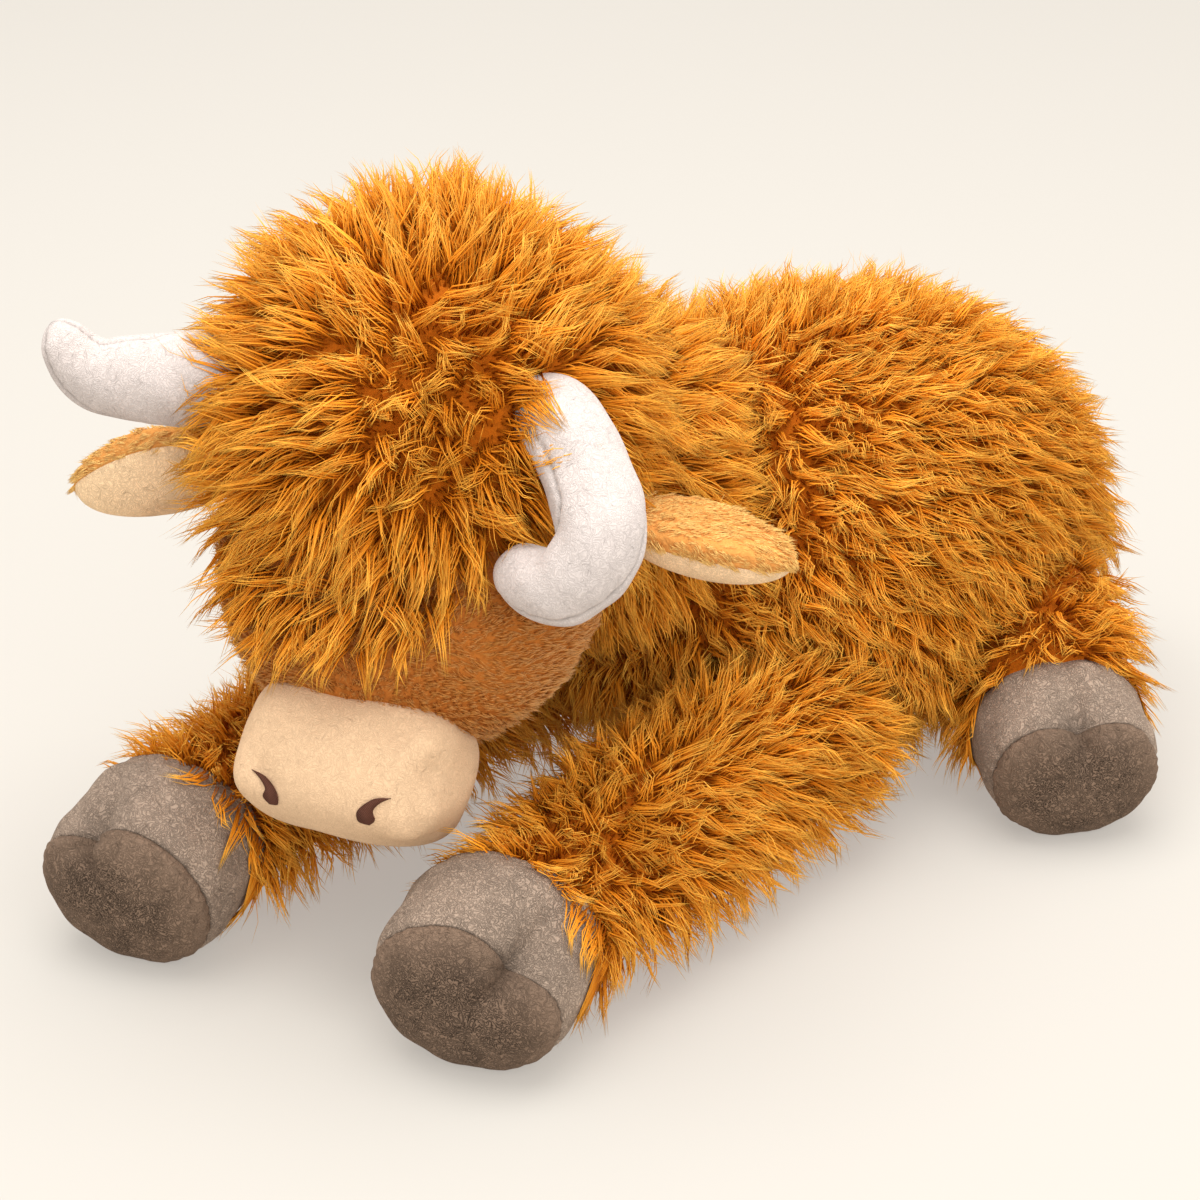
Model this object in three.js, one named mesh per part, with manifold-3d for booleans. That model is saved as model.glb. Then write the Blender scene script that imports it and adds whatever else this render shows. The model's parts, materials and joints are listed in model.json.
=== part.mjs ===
// A plush highland cow lying on its belly with its head bowed between its forelegs.
// Every limb, the head, the ears and the tail is a stuffed form in sewn covers, joined at a seam where it flops.
// Millimetres, +Z up. The nose points along -Y, the cow's left is +X, and the floor is z = 0.
// The origin is on the floor, at the middle of the belly's flat rest face.

import * as THREE from 'three';
import { mergeVertices } from 'three/addons/utils/BufferGeometryUtils.js';
import Module from 'manifold-3d';

const wasm = await Module();
wasm.setup();

// Cloth and clearances
const shagPile = 16;            // long fur and its backing, from the filling to the middle of the pile
const minkyPile = 3;            // short pile: muzzle, horns, hooves
const facePile = 4;             // clipped fur of the face
const seamGap = 0.3;            // between two covers that are sewn together
const swingGap = 0.4;           // between a limb's root and its socket
const sweepGap = 1.2;           // extra room cut for a limb that swings
const floorCut = 0.5;           // depth of the flat that the belly and the hooves rest on
const cutOverrun = 40;          // how far a cutting block runs past what it cuts

// Body: a plump barrel, a little bent
const bodyHalfWidth = 138;
const bodyHalfLength = 191;
const bodyRise = 156;
const bodyDrop = 128.5;
const bodyPlump = 2.2;
const bodyHeading = -15.6;
const bodyBend = 8;

// Neck and head
const neckPlace = [-32, -178, 222];
const neckRadius = 106;
const headPlace = [-25, -288, 281];
const headRadius = 127;
const headHeading = 18.6;
const headTiltAngle = 58.2;
const nodRange = 25;
const nodSweepSteps = 3;

// Face and muzzle, in the head's own frame: left, down the nose as -Y, crown
const facePlace = [0, -84, -14];
const faceRadii = [105, 88, 80];
const facePlump = 2.2;
const muzzlePlace = [0, -182, 0];
const muzzleRadii = [63, 44, 44];
const muzzlePlump = 2.6;
const nostrilSpread = 27;
const nostrilDown = 22;
const nostrilRise = 28;
const nostrilWidth = 9;
const nostrilLength = 19;
const nostrilThread = 0.9;
const nostrilTurn = 25;

// Horns: a curve in the head's frame and the radius along it
const hornRootRadius = 26;
const hornMidRadius = 25;
const hornEndRadius = 19;
const hornRootSink = 22;
const hornTipShare = 0.14;
const hornCurves = {
  left: [[88, 0, 62], [124, -24, 68], [136, -54, 72], [120, -77, 68], [86, -72, 58]],
  right: [[-80, 0, 58], [-127, -10, 72], [-157, -12, 84], [-172, 4, 100]],
};

// Ears: each hinges at its root, in the head's frame
const earRoot = [108, -30, -6];
const earLength = 100;
const earHalfWidth = 27;
const earHalfThickness = 14;
const earRootRadius = 11;
const earDroop = { left: 25, right: -1 };
const earSweepBack = { left: 4, right: -14 };
const earRoll = { left: -50, right: -94 };
const earRange = 20;
const earSlotShare = 4;

// Legs: pivot, direction from straight ahead towards the cow's left, and the hoof's place along the leg
const foreRootRadius = 66;
const hindRootRadius = 74;
const legTubeRadius = 61;
const legMidShare = 0.55;
const legDroop = 10;
const cuffLapShare = 0.2;
const cuffRadius = 52;
const foreReach = 272;
const hindReach = 88;
const forePlace = { left: [76, -110], right: [-114, -151] };
const hindPlace = { left: [104, 68], right: [-66, 114] };
const foreHeading = { left: 5.7, right: 2.1 };
const hindHeading = { left: 55, right: -80 };
const foreSplay = 20;
const hindSplay = 18;
const hindTuck = 6;

// Hooves: a drum with a domed sole and a pinched cleft at the toe
const foreHoofRadius = 55;
const hindHoofRadius = 51;
const hoofTiltAngle = 13;
const hoofBackShare = 0.54;
const hoofFrontShare = 0.56;
const hoofCuffShare = 0.9;
const hoofSeamShare = 0.96;
const hoofHeightShare = 0.88;
const soleDomeShare = 0.4;
const cleftDepthShare = 0.32;
const cleftSpanShare = 0.4;
const hoofTurn = { foreleft: 14, foreright: 12, hindleft: -4, hindright: 4 };
const cleftTurn = { foreleft: 43, foreright: -24, hindleft: 0, hindright: 0 };

// Tail: hangs from the rump, from a rise above the body's widest line
const tailRise = 42;
const tailAside = 6;
const tailLean = 12;
const tailSink = 5;
const tailRootRadius = 12;
const tailCordRadius = 9;
const tailDrop = 70;
const tailSwing = 20;
const tuftRadius = 21;
const tuftHalfLength = 40;

// Facets
const bodyFacets = [28, 16];
const headFacets = [20, 12];
const smallFacets = [16, 10];
const hornRings = 9;
const tailRings = 5;
const earFacets = [14, 8];
const fillingFacets = [14, 8];
const fillingBallFacets = [11, 6];
const ballFacets = [14, 8];
const smallBallFacets = [10, 6];
const tubeSides = 16;
const fillingSides = 11;
const hornSides = 10;
const nostrilSteps = 4;

const up = new THREE.Vector3(0, 0, 1);
const rad = THREE.MathUtils.degToRad;
const vec = (place) => new THREE.Vector3(...place);

// Solids and meshes

function welded(geometry) {
  const bare = geometry.clone();
  for (const name of Object.keys(bare.attributes)) if (name !== 'position') bare.deleteAttribute(name);
  const merged = mergeVertices(bare);
  const corners = merged.index.array;
  const kept = [];
  for (let i = 0; i < corners.length; i += 3) {
    const [a, b, c] = [corners[i], corners[i + 1], corners[i + 2]];
    if (a !== b && b !== c && c !== a) kept.push(a, b, c);
  }
  merged.setIndex(kept);
  return merged;
}

function solidOf(geometry) {
  return new wasm.Manifold(new wasm.Mesh({
    numProp: 3,
    vertProperties: Float32Array.from(geometry.attributes.position.array),
    triVerts: Uint32Array.from(geometry.index.array),
  }));
}

function geometryOf(solid) {
  const mesh = solid.getMesh();
  const geometry = new THREE.BufferGeometry();
  geometry.setAttribute('position', new THREE.BufferAttribute(Float32Array.from(mesh.vertProperties), 3));
  geometry.setIndex(new THREE.BufferAttribute(Uint32Array.from(mesh.triVerts), 1));
  return geometry;
}

// Moves every point of a welded geometry.
function shaped(geometry, move) {
  const points = geometry.attributes.position;
  const p = new THREE.Vector3();
  for (let i = 0; i < points.count; i++) {
    p.fromBufferAttribute(points, i);
    move(p);
    points.setXYZ(i, p.x, p.y, p.z);
  }
  return geometry;
}

const united = (solids) => solids.reduce((whole, next) => whole.add(next));
const cutBy = (solid, cutters) => cutters.reduce((rest, cutter) => rest.subtract(cutter), solid);

// Frames: a heading turns about the vertical from straight ahead towards the cow's left.

function frameAt(place, heading = 0, pitch = 0) {
  const turn = new THREE.Quaternion().setFromAxisAngle(up, rad(heading));
  turn.multiply(new THREE.Quaternion().setFromAxisAngle(new THREE.Vector3(1, 0, 0), rad(pitch)));
  return new THREE.Matrix4().compose(vec(place), turn, new THREE.Vector3(1, 1, 1));
}

const within = (outer, inner) => outer.clone().multiply(inner);
const direction = (frame, x, y, z) => new THREE.Vector3(x, y, z).transformDirection(frame);
const turnedAbout = (place, axis, degrees) => new THREE.Matrix4()
  .makeTranslation(...place)
  .multiply(new THREE.Matrix4().makeRotationAxis(axis, rad(degrees)))
  .multiply(new THREE.Matrix4().makeTranslation(...place.map((value) => -value)));

// Forms, each a function of how far its surface is moved out, so a cover, its filling and what it seats in agree.

function plumpForm(radii, plump, facets, frame, drop = radii[2], bend = 0) {
  const geometry = welded(new THREE.SphereGeometry(1, ...facets));
  shaped(geometry, (p) => {
    const spread = (Math.abs(p.x) ** plump + Math.abs(p.y) ** plump + Math.abs(p.z) ** plump) ** (1 / plump);
    p.divideScalar(spread);
    p.x = p.x * radii[0] + bend * p.y * p.y;
    p.y *= radii[1];
    p.z *= p.z < 0 ? drop : radii[2];
    p.applyMatrix4(frame);
  });
  return solidOf(geometry);
}

// A ball whose poles lie on the axis that it turns about.
function ballForm(radius, facets, place, axis) {
  const geometry = welded(new THREE.SphereGeometry(radius, ...facets));
  const turn = new THREE.Quaternion().setFromUnitVectors(new THREE.Vector3(0, 1, 0), axis);
  return solidOf(geometry.applyQuaternion(turn).translate(...place));
}

// The socket of such a ball has the same rows and twice the sides, and clears the ball at any turn.
function socketForm(radius, facets, place, axis) {
  const sides = facets[0] * 2;
  return ballForm((radius + swingGap) / Math.cos(Math.PI / sides), [sides, facets[1]], place, axis);
}

// A turned form along -Y. The profile has pairs of radius and distance.
function turnedForm(profile, sides, frame, move = () => {}) {
  const points = profile.map(([radius, distance]) => new THREE.Vector2(radius, -distance)).reverse();
  const geometry = welded(new THREE.LatheGeometry(points, sides));
  geometry.rotateY(Math.PI / sides);
  shaped(geometry, move);
  return solidOf(geometry.applyMatrix4(frame));
}

// A tapered form bent along a curve, which it leaves sooner the further its surface is moved in.
function bentForm(curve, radiusAt, sides, rings, frame, out = 0) {
  const path = new THREE.CatmullRomCurve3(curve.map(vec));
  const kept = 1 + Math.min(0, out) / path.getLength();
  const frames = path.computeFrenetFrames(rings);
  const profile = [new THREE.Vector2(0, 0)];
  for (let i = 0; i <= rings; i++) profile.push(new THREE.Vector2(1, i));
  profile.push(new THREE.Vector2(0, rings));
  const geometry = welded(new THREE.LatheGeometry(profile, sides));
  shaped(geometry, (p) => {
    const ring = Math.round(p.y);
    const centre = path.getPointAt(kept * ring / rings);
    const radius = radiusAt(ring / rings) + out;
    const side = frames.normals[ring].clone().multiplyScalar(p.x * radius);
    const lift = frames.binormals[ring].clone().multiplyScalar(p.z * radius);
    p.copy(centre.add(side).sub(lift)).applyMatrix4(frame);
  });
  return solidOf(geometry);
}

function block(low, high, frame = new THREE.Matrix4()) {
  const size = vec(high).sub(vec(low));
  const middle = vec(low).add(vec(high)).multiplyScalar(1 / 2);
  const geometry = welded(new THREE.BoxGeometry(...size)).translate(...middle);
  return solidOf(geometry.applyMatrix4(frame));
}

const farReach = bodyHalfLength * 4;
const floorBlock = block([-farReach, -farReach, -cutOverrun], [farReach, farReach, 0]);

// Materials: colour, roughness
const cloth = (colour, roughness = 0.95) => new THREE.MeshStandardMaterial({ color: colour, roughness, metalness: 0 });
const shagFur = () => cloth(0xc27a2c);
const faceFur = () => cloth(0xbe7a42);
const creamMinky = () => cloth(0xebcda4);
const whiteMinky = () => cloth(0xf2efea);
const hoofMinky = () => cloth(0x9a8878);
const soleMinky = () => cloth(0x6e6054);
const darkThread = () => cloth(0x5f3d2e, 0.7);
const stuffing = () => cloth(0xf4f2ee, 1);

// The object: one group for each piece that moves as one, placed at its joint.
const cow = new THREE.Group();
cow.name = 'plush_cow';

function jointGroup(parent, place) {
  const group = new THREE.Group();
  const origin = new THREE.Vector3();
  for (let above = parent; above; above = above.parent) origin.add(above.position);
  group.position.copy(vec(place)).sub(origin);
  parent.add(group);
  return { group, place };
}

function addPiece({ group, place }, name, solid, material) {
  const mesh = new THREE.Mesh(geometryOf(solid).translate(...place.map((value) => -value)), material);
  mesh.name = name;
  group.add(mesh);
}

const trunk = { group: cow, place: [0, 0, 0] };

// Places that several pieces share
const bodyFrame = frameAt([0, 0, bodyDrop - floorCut], bodyHeading);
const headFrame = frameAt(headPlace, headHeading, headTiltAngle);
const nodAxis = direction(headFrame, -1, 0, 0);
const inHead = (place) => vec(place).applyMatrix4(headFrame).toArray();

// Forms of the body and the head, moved out by a distance
const bodyForm = (out, facets) => plumpForm(
  [bodyHalfWidth + out, bodyHalfLength + out, bodyRise + out], bodyPlump, facets, bodyFrame, bodyDrop + out, bodyBend);
const headForm = (out, facets) => plumpForm(
  [headRadius + out, headRadius + out, headRadius + out], 2, facets, headFrame);
const neckForm = (out, facets) => ballForm(neckRadius + out, facets, neckPlace, nodAxis);
const faceForm = (out, facets) => plumpForm(
  faceRadii.map((radius) => radius + out), facePlump, facets, within(headFrame, frameAt(facePlace)));
const muzzleForm = (out, facets) => plumpForm(
  muzzleRadii.map((radius) => radius + out), muzzlePlump, facets, within(headFrame, frameAt(muzzlePlace)));

// Legs

// Radius and distance along the hoof, from its cuff to the sole's dome.
function hoofProfile(leg, out) {
  const radius = leg.hoofRadius + out;
  const back = leg.hoofRadius * hoofBackShare;
  const seam = leg.hoofRadius * hoofFrontShare;
  const dome = leg.hoofRadius * soleDomeShare + out;
  const domeRows = [1, 2].map((row) => rad(row * 30)).map((angle) => [
    radius * hoofSeamShare * Math.cos(angle), seam + dome * Math.sin(angle)]);
  return [[radius * hoofCuffShare, -back - out], [radius, -back / 2], [radius, seam / 2],
    [radius * hoofSeamShare, seam], ...domeRows, [0, seam + dome]];
}

// A hoof's lowest side is level with the floor's cut.
function hoofFrameOf(leg) {
  const depths = hoofProfile(leg, 0).map(([radius, distance]) => (
    radius * hoofHeightShare * Math.cos(Math.PI / tubeSides) * Math.cos(rad(hoofTiltAngle))
    + distance * Math.sin(rad(hoofTiltAngle))));
  const height = Math.max(...depths) - floorCut;
  const place = frameAt([0, -leg.reach, height - leg.pivot[2]], leg.hoofTurn, hoofTiltAngle);
  return within(leg.frame, place).scale(new THREE.Vector3(1, 1, hoofHeightShare));
}

// The pinch of the cleft: points near the toe's seam on the cleft's side are drawn in.
function pinched(leg, seam) {
  const towards = rad(90 - leg.cleftTurn);
  return (p) => {
    const off = Math.atan2(p.z, p.x) - towards;
    const aside = Math.atan2(Math.sin(off), Math.cos(off)) / cleftSpanShare;
    const along = (p.y + seam) / (leg.hoofRadius * cleftSpanShare);
    const draw = 1 - cleftDepthShare * Math.exp(-aside * aside - along * along);
    p.x *= draw;
    p.z *= draw;
  };
}

// The whole hoof, from its cuff to the sole's dome, moved out; from and to keep a stretch of it.
function hoofForm(leg, out, sides, from = -Infinity, to = Infinity) {
  const rows = hoofProfile(leg, out);
  const profile = [[0, rows[0][1]], ...rows];
  const whole = turnedForm(profile, sides, new THREE.Matrix4(), pinched(leg, leg.hoofRadius * hoofFrontShare));
  const wide = leg.hoofRadius + cutOverrun;
  const low = Math.max(from, -wide);
  const high = Math.min(to, wide);
  const kept = whole.intersect(block([-wide, -high, -wide], [wide, -low, wide]));
  return kept.transform(hoofFrameOf(leg).toArray());
}

function legTube(leg, out, sides) {
  const start = leg.rootRadius / 2;
  const cuff = leg.reach - leg.hoofRadius * hoofBackShare / 2 + out * cuffLapShare;
  const middle = THREE.MathUtils.lerp(start, cuff, legMidShare);
  const profile = [[0, -out], [leg.tubeRadius * hoofCuffShare + out, -out], [leg.tubeRadius + out, start],
    [leg.tubeRadius + out, middle], [cuffRadius + out, cuff], [0, cuff]];
  const droop = (p) => {
    p.z += legDroop * p.y / leg.reach;
  };
  return turnedForm(profile, sides, leg.frame, droop);
}

const legBall = (leg, out, facets) => ballForm(leg.rootRadius + out, facets, leg.pivot, up);

function makeLeg(name, spec) {
  const leg = { ...spec, frame: frameAt(spec.pivot, spec.heading) };
  const shagIn = -shagPile - seamGap;
  const minkyIn = -minkyPile - seamGap;
  const seam = leg.hoofRadius * hoofFrontShare;
  const sleeve = legBall(leg, 0, ballFacets).add(legTube(leg, 0, tubeSides));
  const filling = (out) => united([
    legBall(leg, shagIn + out, fillingBallFacets),
    legTube(leg, shagIn + out, fillingSides),
    hoofForm(leg, minkyIn + out, fillingSides),
  ]);
  const room = filling(seamGap);
  const hoofRoom = hoofForm(leg, seamGap, tubeSides);
  const upper = hoofForm(leg, 0, tubeSides, -Infinity, seam - seamGap / 2);
  const sole = hoofForm(leg, 0, tubeSides, seam + seamGap / 2);
  leg.group = jointGroup(cow, leg.pivot);
  const pieces = {
    sleeve: [cutBy(sleeve, [hoofRoom, room, floorBlock]), shagFur()],
    hoof_upper: [cutBy(upper, [room, floorBlock]), hoofMinky()],
    hoof_sole: [cutBy(sole, [room, floorBlock]), soleMinky()],
    filling: [filling(0), stuffing()],
  };
  for (const [piece, [solid, material]] of Object.entries(pieces)) {
    addPiece(leg.group, `${name}_${piece}`, solid, material);
  }
  // What the leg needs inside the body: its socket, and the room that its swing takes.
  const [low, high] = leg.swing;
  const swept = [...new Set([low, low / 2, 0, high / 2, (low + high) / 2, high])].map((angle) => (
    legTube(leg, sweepGap, tubeSides).transform(turnedAbout(leg.pivot, up, angle).toArray())));
  return [socketForm(leg.rootRadius, ballFacets, leg.pivot, up), ...swept];
}

const foreleg = (side) => ({
  pivot: [...forePlace[side], foreRootRadius - floorCut],
  heading: foreHeading[side],
  reach: foreReach,
  rootRadius: foreRootRadius,
  tubeRadius: legTubeRadius,
  hoofRadius: foreHoofRadius,
  hoofTurn: hoofTurn[`fore${side}`],
  cleftTurn: cleftTurn[`fore${side}`],
  swing: side === 'left' ? [0, foreSplay] : [-foreSplay, 0],
});

const hindleg = (side) => ({
  pivot: [...hindPlace[side], hindRootRadius - floorCut],
  heading: hindHeading[side],
  reach: hindReach,
  rootRadius: hindRootRadius,
  tubeRadius: legTubeRadius,
  hoofRadius: hindHoofRadius,
  hoofTurn: hoofTurn[`hind${side}`],
  cleftTurn: cleftTurn[`hind${side}`],
  swing: side === 'left' ? [-hindTuck, hindSplay] : [-hindSplay, hindTuck],
});

const legRooms = ['left', 'right'].flatMap((side) => [
  ...makeLeg(`foreleg_${side}`, foreleg(side)),
  ...makeLeg(`hind_leg_${side}`, hindleg(side)),
]);

// Head: covers over one filling, with the forms that the horns and the ears seat against

const head = jointGroup(cow, neckPlace);
const headForms = (out, facets) => [headForm(out, facets), neckForm(out, facets)];
const headFilling = (out) => united([
  ...headForms(-shagPile - seamGap + out, fillingFacets),
  faceForm(-facePile - seamGap + out, fillingFacets),
  muzzleForm(-minkyPile - seamGap + out, fillingFacets),
]);

function earFrameOf(side) {
  const sign = side === 'left' ? 1 : -1;
  const turn = new THREE.Euler(0, rad(earDroop[side]), rad(-earSweepBack[side]), 'ZYX');
  const place = vec([sign * earRoot[0], earRoot[1], earRoot[2]]);
  const aim = new THREE.Matrix4().makeRotationFromEuler(turn);
  if (sign < 0) aim.premultiply(new THREE.Matrix4().makeRotationZ(Math.PI));
  aim.multiply(new THREE.Matrix4().makeRotationX(rad(sign * earRoll[side])));
  return within(headFrame, new THREE.Matrix4().makeTranslation(place).multiply(aim));
}

// An ear lifts and drops about its own width.
const earAxisOf = (side) => direction(earFrameOf(side), 0, 1, 0);

// An ear lies along its frame's X from a small round root, and its two faces meet at z = 0.
function earForm(side, out, facets) {
  const frame = earFrameOf(side);
  const leaf = plumpForm([earLength / 2 + out, earHalfWidth + out, earHalfThickness + out],
    2, facets, within(frame, frameAt([earLength / 2, 0, 0])));
  return leaf.add(ballForm(earRootRadius + out, smallBallFacets, inHeadRoot(side), earAxisOf(side)));
}

function inHeadRoot(side) {
  return inHead([side === 'left' ? earRoot[0] : -earRoot[0], earRoot[1], earRoot[2]]);
}

// The slot in the head's fur that an ear swings in: as wide as the leaf, and as thick as its swing.
function earSlot(side) {
  const reach = earRootRadius * earSlotShare;
  const thick = earHalfThickness + reach * Math.sin(rad(earRange));
  const frame = earFrameOf(side);
  const whole = plumpForm([reach, earHalfWidth + sweepGap, thick + sweepGap], bodyPlump, fillingFacets, frame);
  return whole.intersect(block([0, -earLength, -earLength], [earLength, earLength, earLength], frame));
}

function makeEar(side) {
  const frame = earFrameOf(side);
  const wide = earLength + cutOverrun;
  const whole = earForm(side, 0, earFacets);
  const outerHalf = whole.intersect(block([-wide, -wide, seamGap / 2], [wide, wide, wide], frame));
  const innerHalf = whole.intersect(block([-wide, -wide, -wide], [wide, wide, -seamGap / 2], frame));
  const group = jointGroup(head.group, inHeadRoot(side));
  addPiece(group, `ear_${side}_outer`, outerHalf, faceFur());
  addPiece(group, `ear_${side}_inner`, innerHalf, creamMinky());
  return [socketForm(earRootRadius, smallBallFacets, inHeadRoot(side), earAxisOf(side)), earSlot(side)];
}

const earRooms = [...makeEar('left'), ...makeEar('right')];

function hornRadius(share) {
  const body = THREE.MathUtils.lerp(hornRootRadius, hornMidRadius, Math.min(1, share * 2));
  const taper = THREE.MathUtils.lerp(body, hornEndRadius, Math.max(0, share * 2 - 1) ** 2);
  const tip = Math.sqrt(Math.max(0, 1 - Math.max(0, (share - 1 + hornTipShare) / hornTipShare) ** 2));
  return Math.max(taper * tip, hornEndRadius / 3);
}

function makeHorn(side) {
  const [root, next] = hornCurves[side].map(vec);
  const sunk = root.clone().sub(next).setLength(hornRootSink).add(root).toArray();
  const curve = [sunk, ...hornCurves[side]];
  const form = (out) => bentForm(curve, hornRadius, hornSides, hornRings, headFrame, out);
  const filling = form(-minkyPile - seamGap);
  const cover = cutBy(form(0), [
    form(-minkyPile), ...headForms(seamGap, headFacets), faceForm(seamGap, smallFacets)]);
  addPiece(head, `horn_${side}_cover`, cover, whiteMinky());
  addPiece(head, `horn_${side}_filling`, cutBy(filling, headForms(seamGap, headFacets)), stuffing());
}

makeHorn('left');
makeHorn('right');

// Nostrils: commas of dark thread on the muzzle
function nostrilOutline(sign) {
  const shape = new THREE.Shape();
  const bulb = nostrilWidth / 2;
  shape.absarc(0, 0, bulb, -Math.PI, 0, false);
  shape.quadraticCurveTo(bulb, nostrilLength - bulb, -bulb, nostrilLength - bulb);
  shape.quadraticCurveTo(-bulb / 4, nostrilLength / 2, -bulb, 0);
  return new THREE.Shape(shape.getPoints(nostrilSteps).map((point) => new THREE.Vector2(sign * point.x, point.y)));
}

function makeNostril(side) {
  const sign = side === 'left' ? 1 : -1;
  const depth = muzzleRadii[1];
  const comma = welded(new THREE.ExtrudeGeometry(nostrilOutline(sign), { depth, bevelEnabled: false }));
  comma.rotateZ(rad(-sign * nostrilTurn));
  const outward = new THREE.Vector3(sign * nostrilSpread, -nostrilDown, nostrilRise).normalize();
  const turn = new THREE.Matrix4().lookAt(outward, new THREE.Vector3(), new THREE.Vector3(0, 1, 0));
  turn.setPosition(vec(muzzlePlace).add(new THREE.Vector3(sign * nostrilSpread, -nostrilDown, nostrilRise)));
  const prism = solidOf(comma.applyMatrix4(turn).applyMatrix4(headFrame));
  const patch = prism.intersect(muzzleForm(seamGap + nostrilThread, smallFacets))
    .subtract(muzzleForm(seamGap, smallFacets));
  addPiece(head, `nostril_${side}`, patch, darkThread());
}

makeNostril('left');
makeNostril('right');

const headRoom = headFilling(seamGap);
const headCover = cutBy(united(headForms(0, headFacets)), [
  faceForm(seamGap, smallFacets), muzzleForm(seamGap, smallFacets), headRoom, ...earRooms]);
const facePanel = cutBy(faceForm(0, smallFacets), [muzzleForm(seamGap, smallFacets), headRoom, ...earRooms]);
addPiece(head, 'head_cover', headCover, shagFur());
addPiece(head, 'face_panel', facePanel, faceFur());
addPiece(head, 'muzzle_panel', cutBy(muzzleForm(0, smallFacets), [headRoom]), creamMinky());
addPiece(head, 'head_filling', cutBy(headFilling(0), earRooms), stuffing());

// Tail: a cord that leaves the rump at its root, and a tuft that hangs clear of the rump's bulge

const rumpReach = bodyHalfLength * (1 - (tailRise / bodyRise) ** bodyPlump) ** (1 / bodyPlump);
const behindBody = (aside, reach, rise) => (
  new THREE.Vector3(bodyBend - aside, reach, rise).applyMatrix4(bodyFrame).toArray());
const tailPlace = behindBody(tailAside, rumpReach - tailSink, tailRise);
const tailMiddle = behindBody(tailAside, bodyHalfLength + tailCordRadius + sweepGap, tailRise / 2);
const tailEnd = behindBody(tailAside + tailLean, bodyHalfLength + tuftRadius / 2 + sweepGap, tailRise - tailDrop);
const tuftPlace = behindBody(
  tailAside + tailLean, bodyHalfLength + tuftRadius + sweepGap, tailRise - tailDrop - tuftHalfLength / 2);
const tailAxis = direction(bodyFrame, 0, 1, 0);
const tuftForm = (out) => plumpForm(
  [tuftRadius, tuftRadius, tuftHalfLength].map((radius) => radius + out), 2, fillingFacets, frameAt(tuftPlace));
const tailForm = (out) => bentForm(
  [tailPlace, tailMiddle, tailEnd], () => tailCordRadius, hornSides, tailRings, new THREE.Matrix4(), out);
const tailRoot = ballForm(tailRootRadius, smallBallFacets, tailPlace, tailAxis);
const tail = jointGroup(cow, tailPlace);
addPiece(tail, 'tail_cord', cutBy(tailForm(0).add(tailRoot), [tuftForm(seamGap)]), faceFur());
addPiece(tail, 'tail_tuft', tuftForm(0), shagFur());
const tailRooms = [-tailSwing, 0, tailSwing].map((angle) => (
  tailForm(sweepGap).transform(turnedAbout(tailPlace, tailAxis, angle).toArray())));
tailRooms.push(socketForm(tailRootRadius, smallBallFacets, tailPlace, tailAxis));

// Body: the cover has a hole at each limb and at the neck, where the limb's root meets the filling
const headSwept = [];
for (let step = 0; step <= nodSweepSteps; step++) {
  const turn = turnedAbout(neckPlace, nodAxis, nodRange * step / nodSweepSteps).toArray();
  headSwept.push(headForm(sweepGap, headFacets).transform(turn));
}
const neckRoom = socketForm(neckRadius, headFacets, neckPlace, nodAxis);
const limbRooms = [...legRooms, neckRoom, ...headSwept, ...tailRooms];
const bodyRoom = bodyForm(-shagPile, fillingFacets);
addPiece(trunk, 'body_cover', cutBy(bodyForm(0, bodyFacets), [bodyRoom, floorBlock, ...limbRooms]), shagFur());
addPiece(trunk, 'body_filling', cutBy(bodyForm(-shagPile - seamGap, fillingFacets), limbRooms), stuffing());

export default cow;
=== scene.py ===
import json
import math

import bmesh
import bpy
import numpy as np
from mathutils import Euler, Matrix, Vector
from mathutils.bvhtree import BVHTree
from mathutils.kdtree import KDTree


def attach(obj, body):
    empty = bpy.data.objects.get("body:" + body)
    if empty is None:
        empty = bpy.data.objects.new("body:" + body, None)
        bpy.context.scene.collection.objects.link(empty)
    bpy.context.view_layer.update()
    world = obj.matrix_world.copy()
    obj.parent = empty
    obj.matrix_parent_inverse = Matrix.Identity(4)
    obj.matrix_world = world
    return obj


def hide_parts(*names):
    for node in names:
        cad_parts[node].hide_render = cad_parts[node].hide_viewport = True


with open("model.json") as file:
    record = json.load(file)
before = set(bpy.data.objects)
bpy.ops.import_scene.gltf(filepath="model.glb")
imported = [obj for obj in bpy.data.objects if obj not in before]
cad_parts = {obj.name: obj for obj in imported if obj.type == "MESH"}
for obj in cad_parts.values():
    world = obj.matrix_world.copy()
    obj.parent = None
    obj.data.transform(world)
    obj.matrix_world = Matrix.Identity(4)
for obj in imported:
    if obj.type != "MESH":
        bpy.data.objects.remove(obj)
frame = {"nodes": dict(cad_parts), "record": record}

bl_info = {
    "name": "Plush highland cow",
    "version": (1, 0, 0),
    "blender": (4, 5, 0),
    "location": "View3D > Sidebar > Plush cow",
    "description": "Covers, hooves, horns, ears and long fur of a lying plush cow",
    "category": "Add Mesh",
}


# Frames, as in the part's source: metres and degrees, the nose along -Y and the cow's left +X

def frame_at(place, heading=0.0, pitch=0.0):
    turn = Matrix.Rotation(math.radians(heading), 4, "Z") @ Matrix.Rotation(math.radians(pitch), 4, "X")
    return Matrix.Translation(place) @ turn


BODY = frame_at((0, 0, 0.128), -15.6)
HEAD = frame_at((-0.025, -0.288, 0.281), 18.6, 58.2)
HEAD_RADIUS = 0.127
WHORL = (0.0565, -0.3563, 0.3367)
WHORL_REACH = 0.042
FACE_PLACE = (0, -0.084, -0.014)
FACE = HEAD @ Matrix.Translation(FACE_PLACE)
FACE_RADII = (0.105, 0.088, 0.080)
FACE_PLUMP = 2.2
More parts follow.
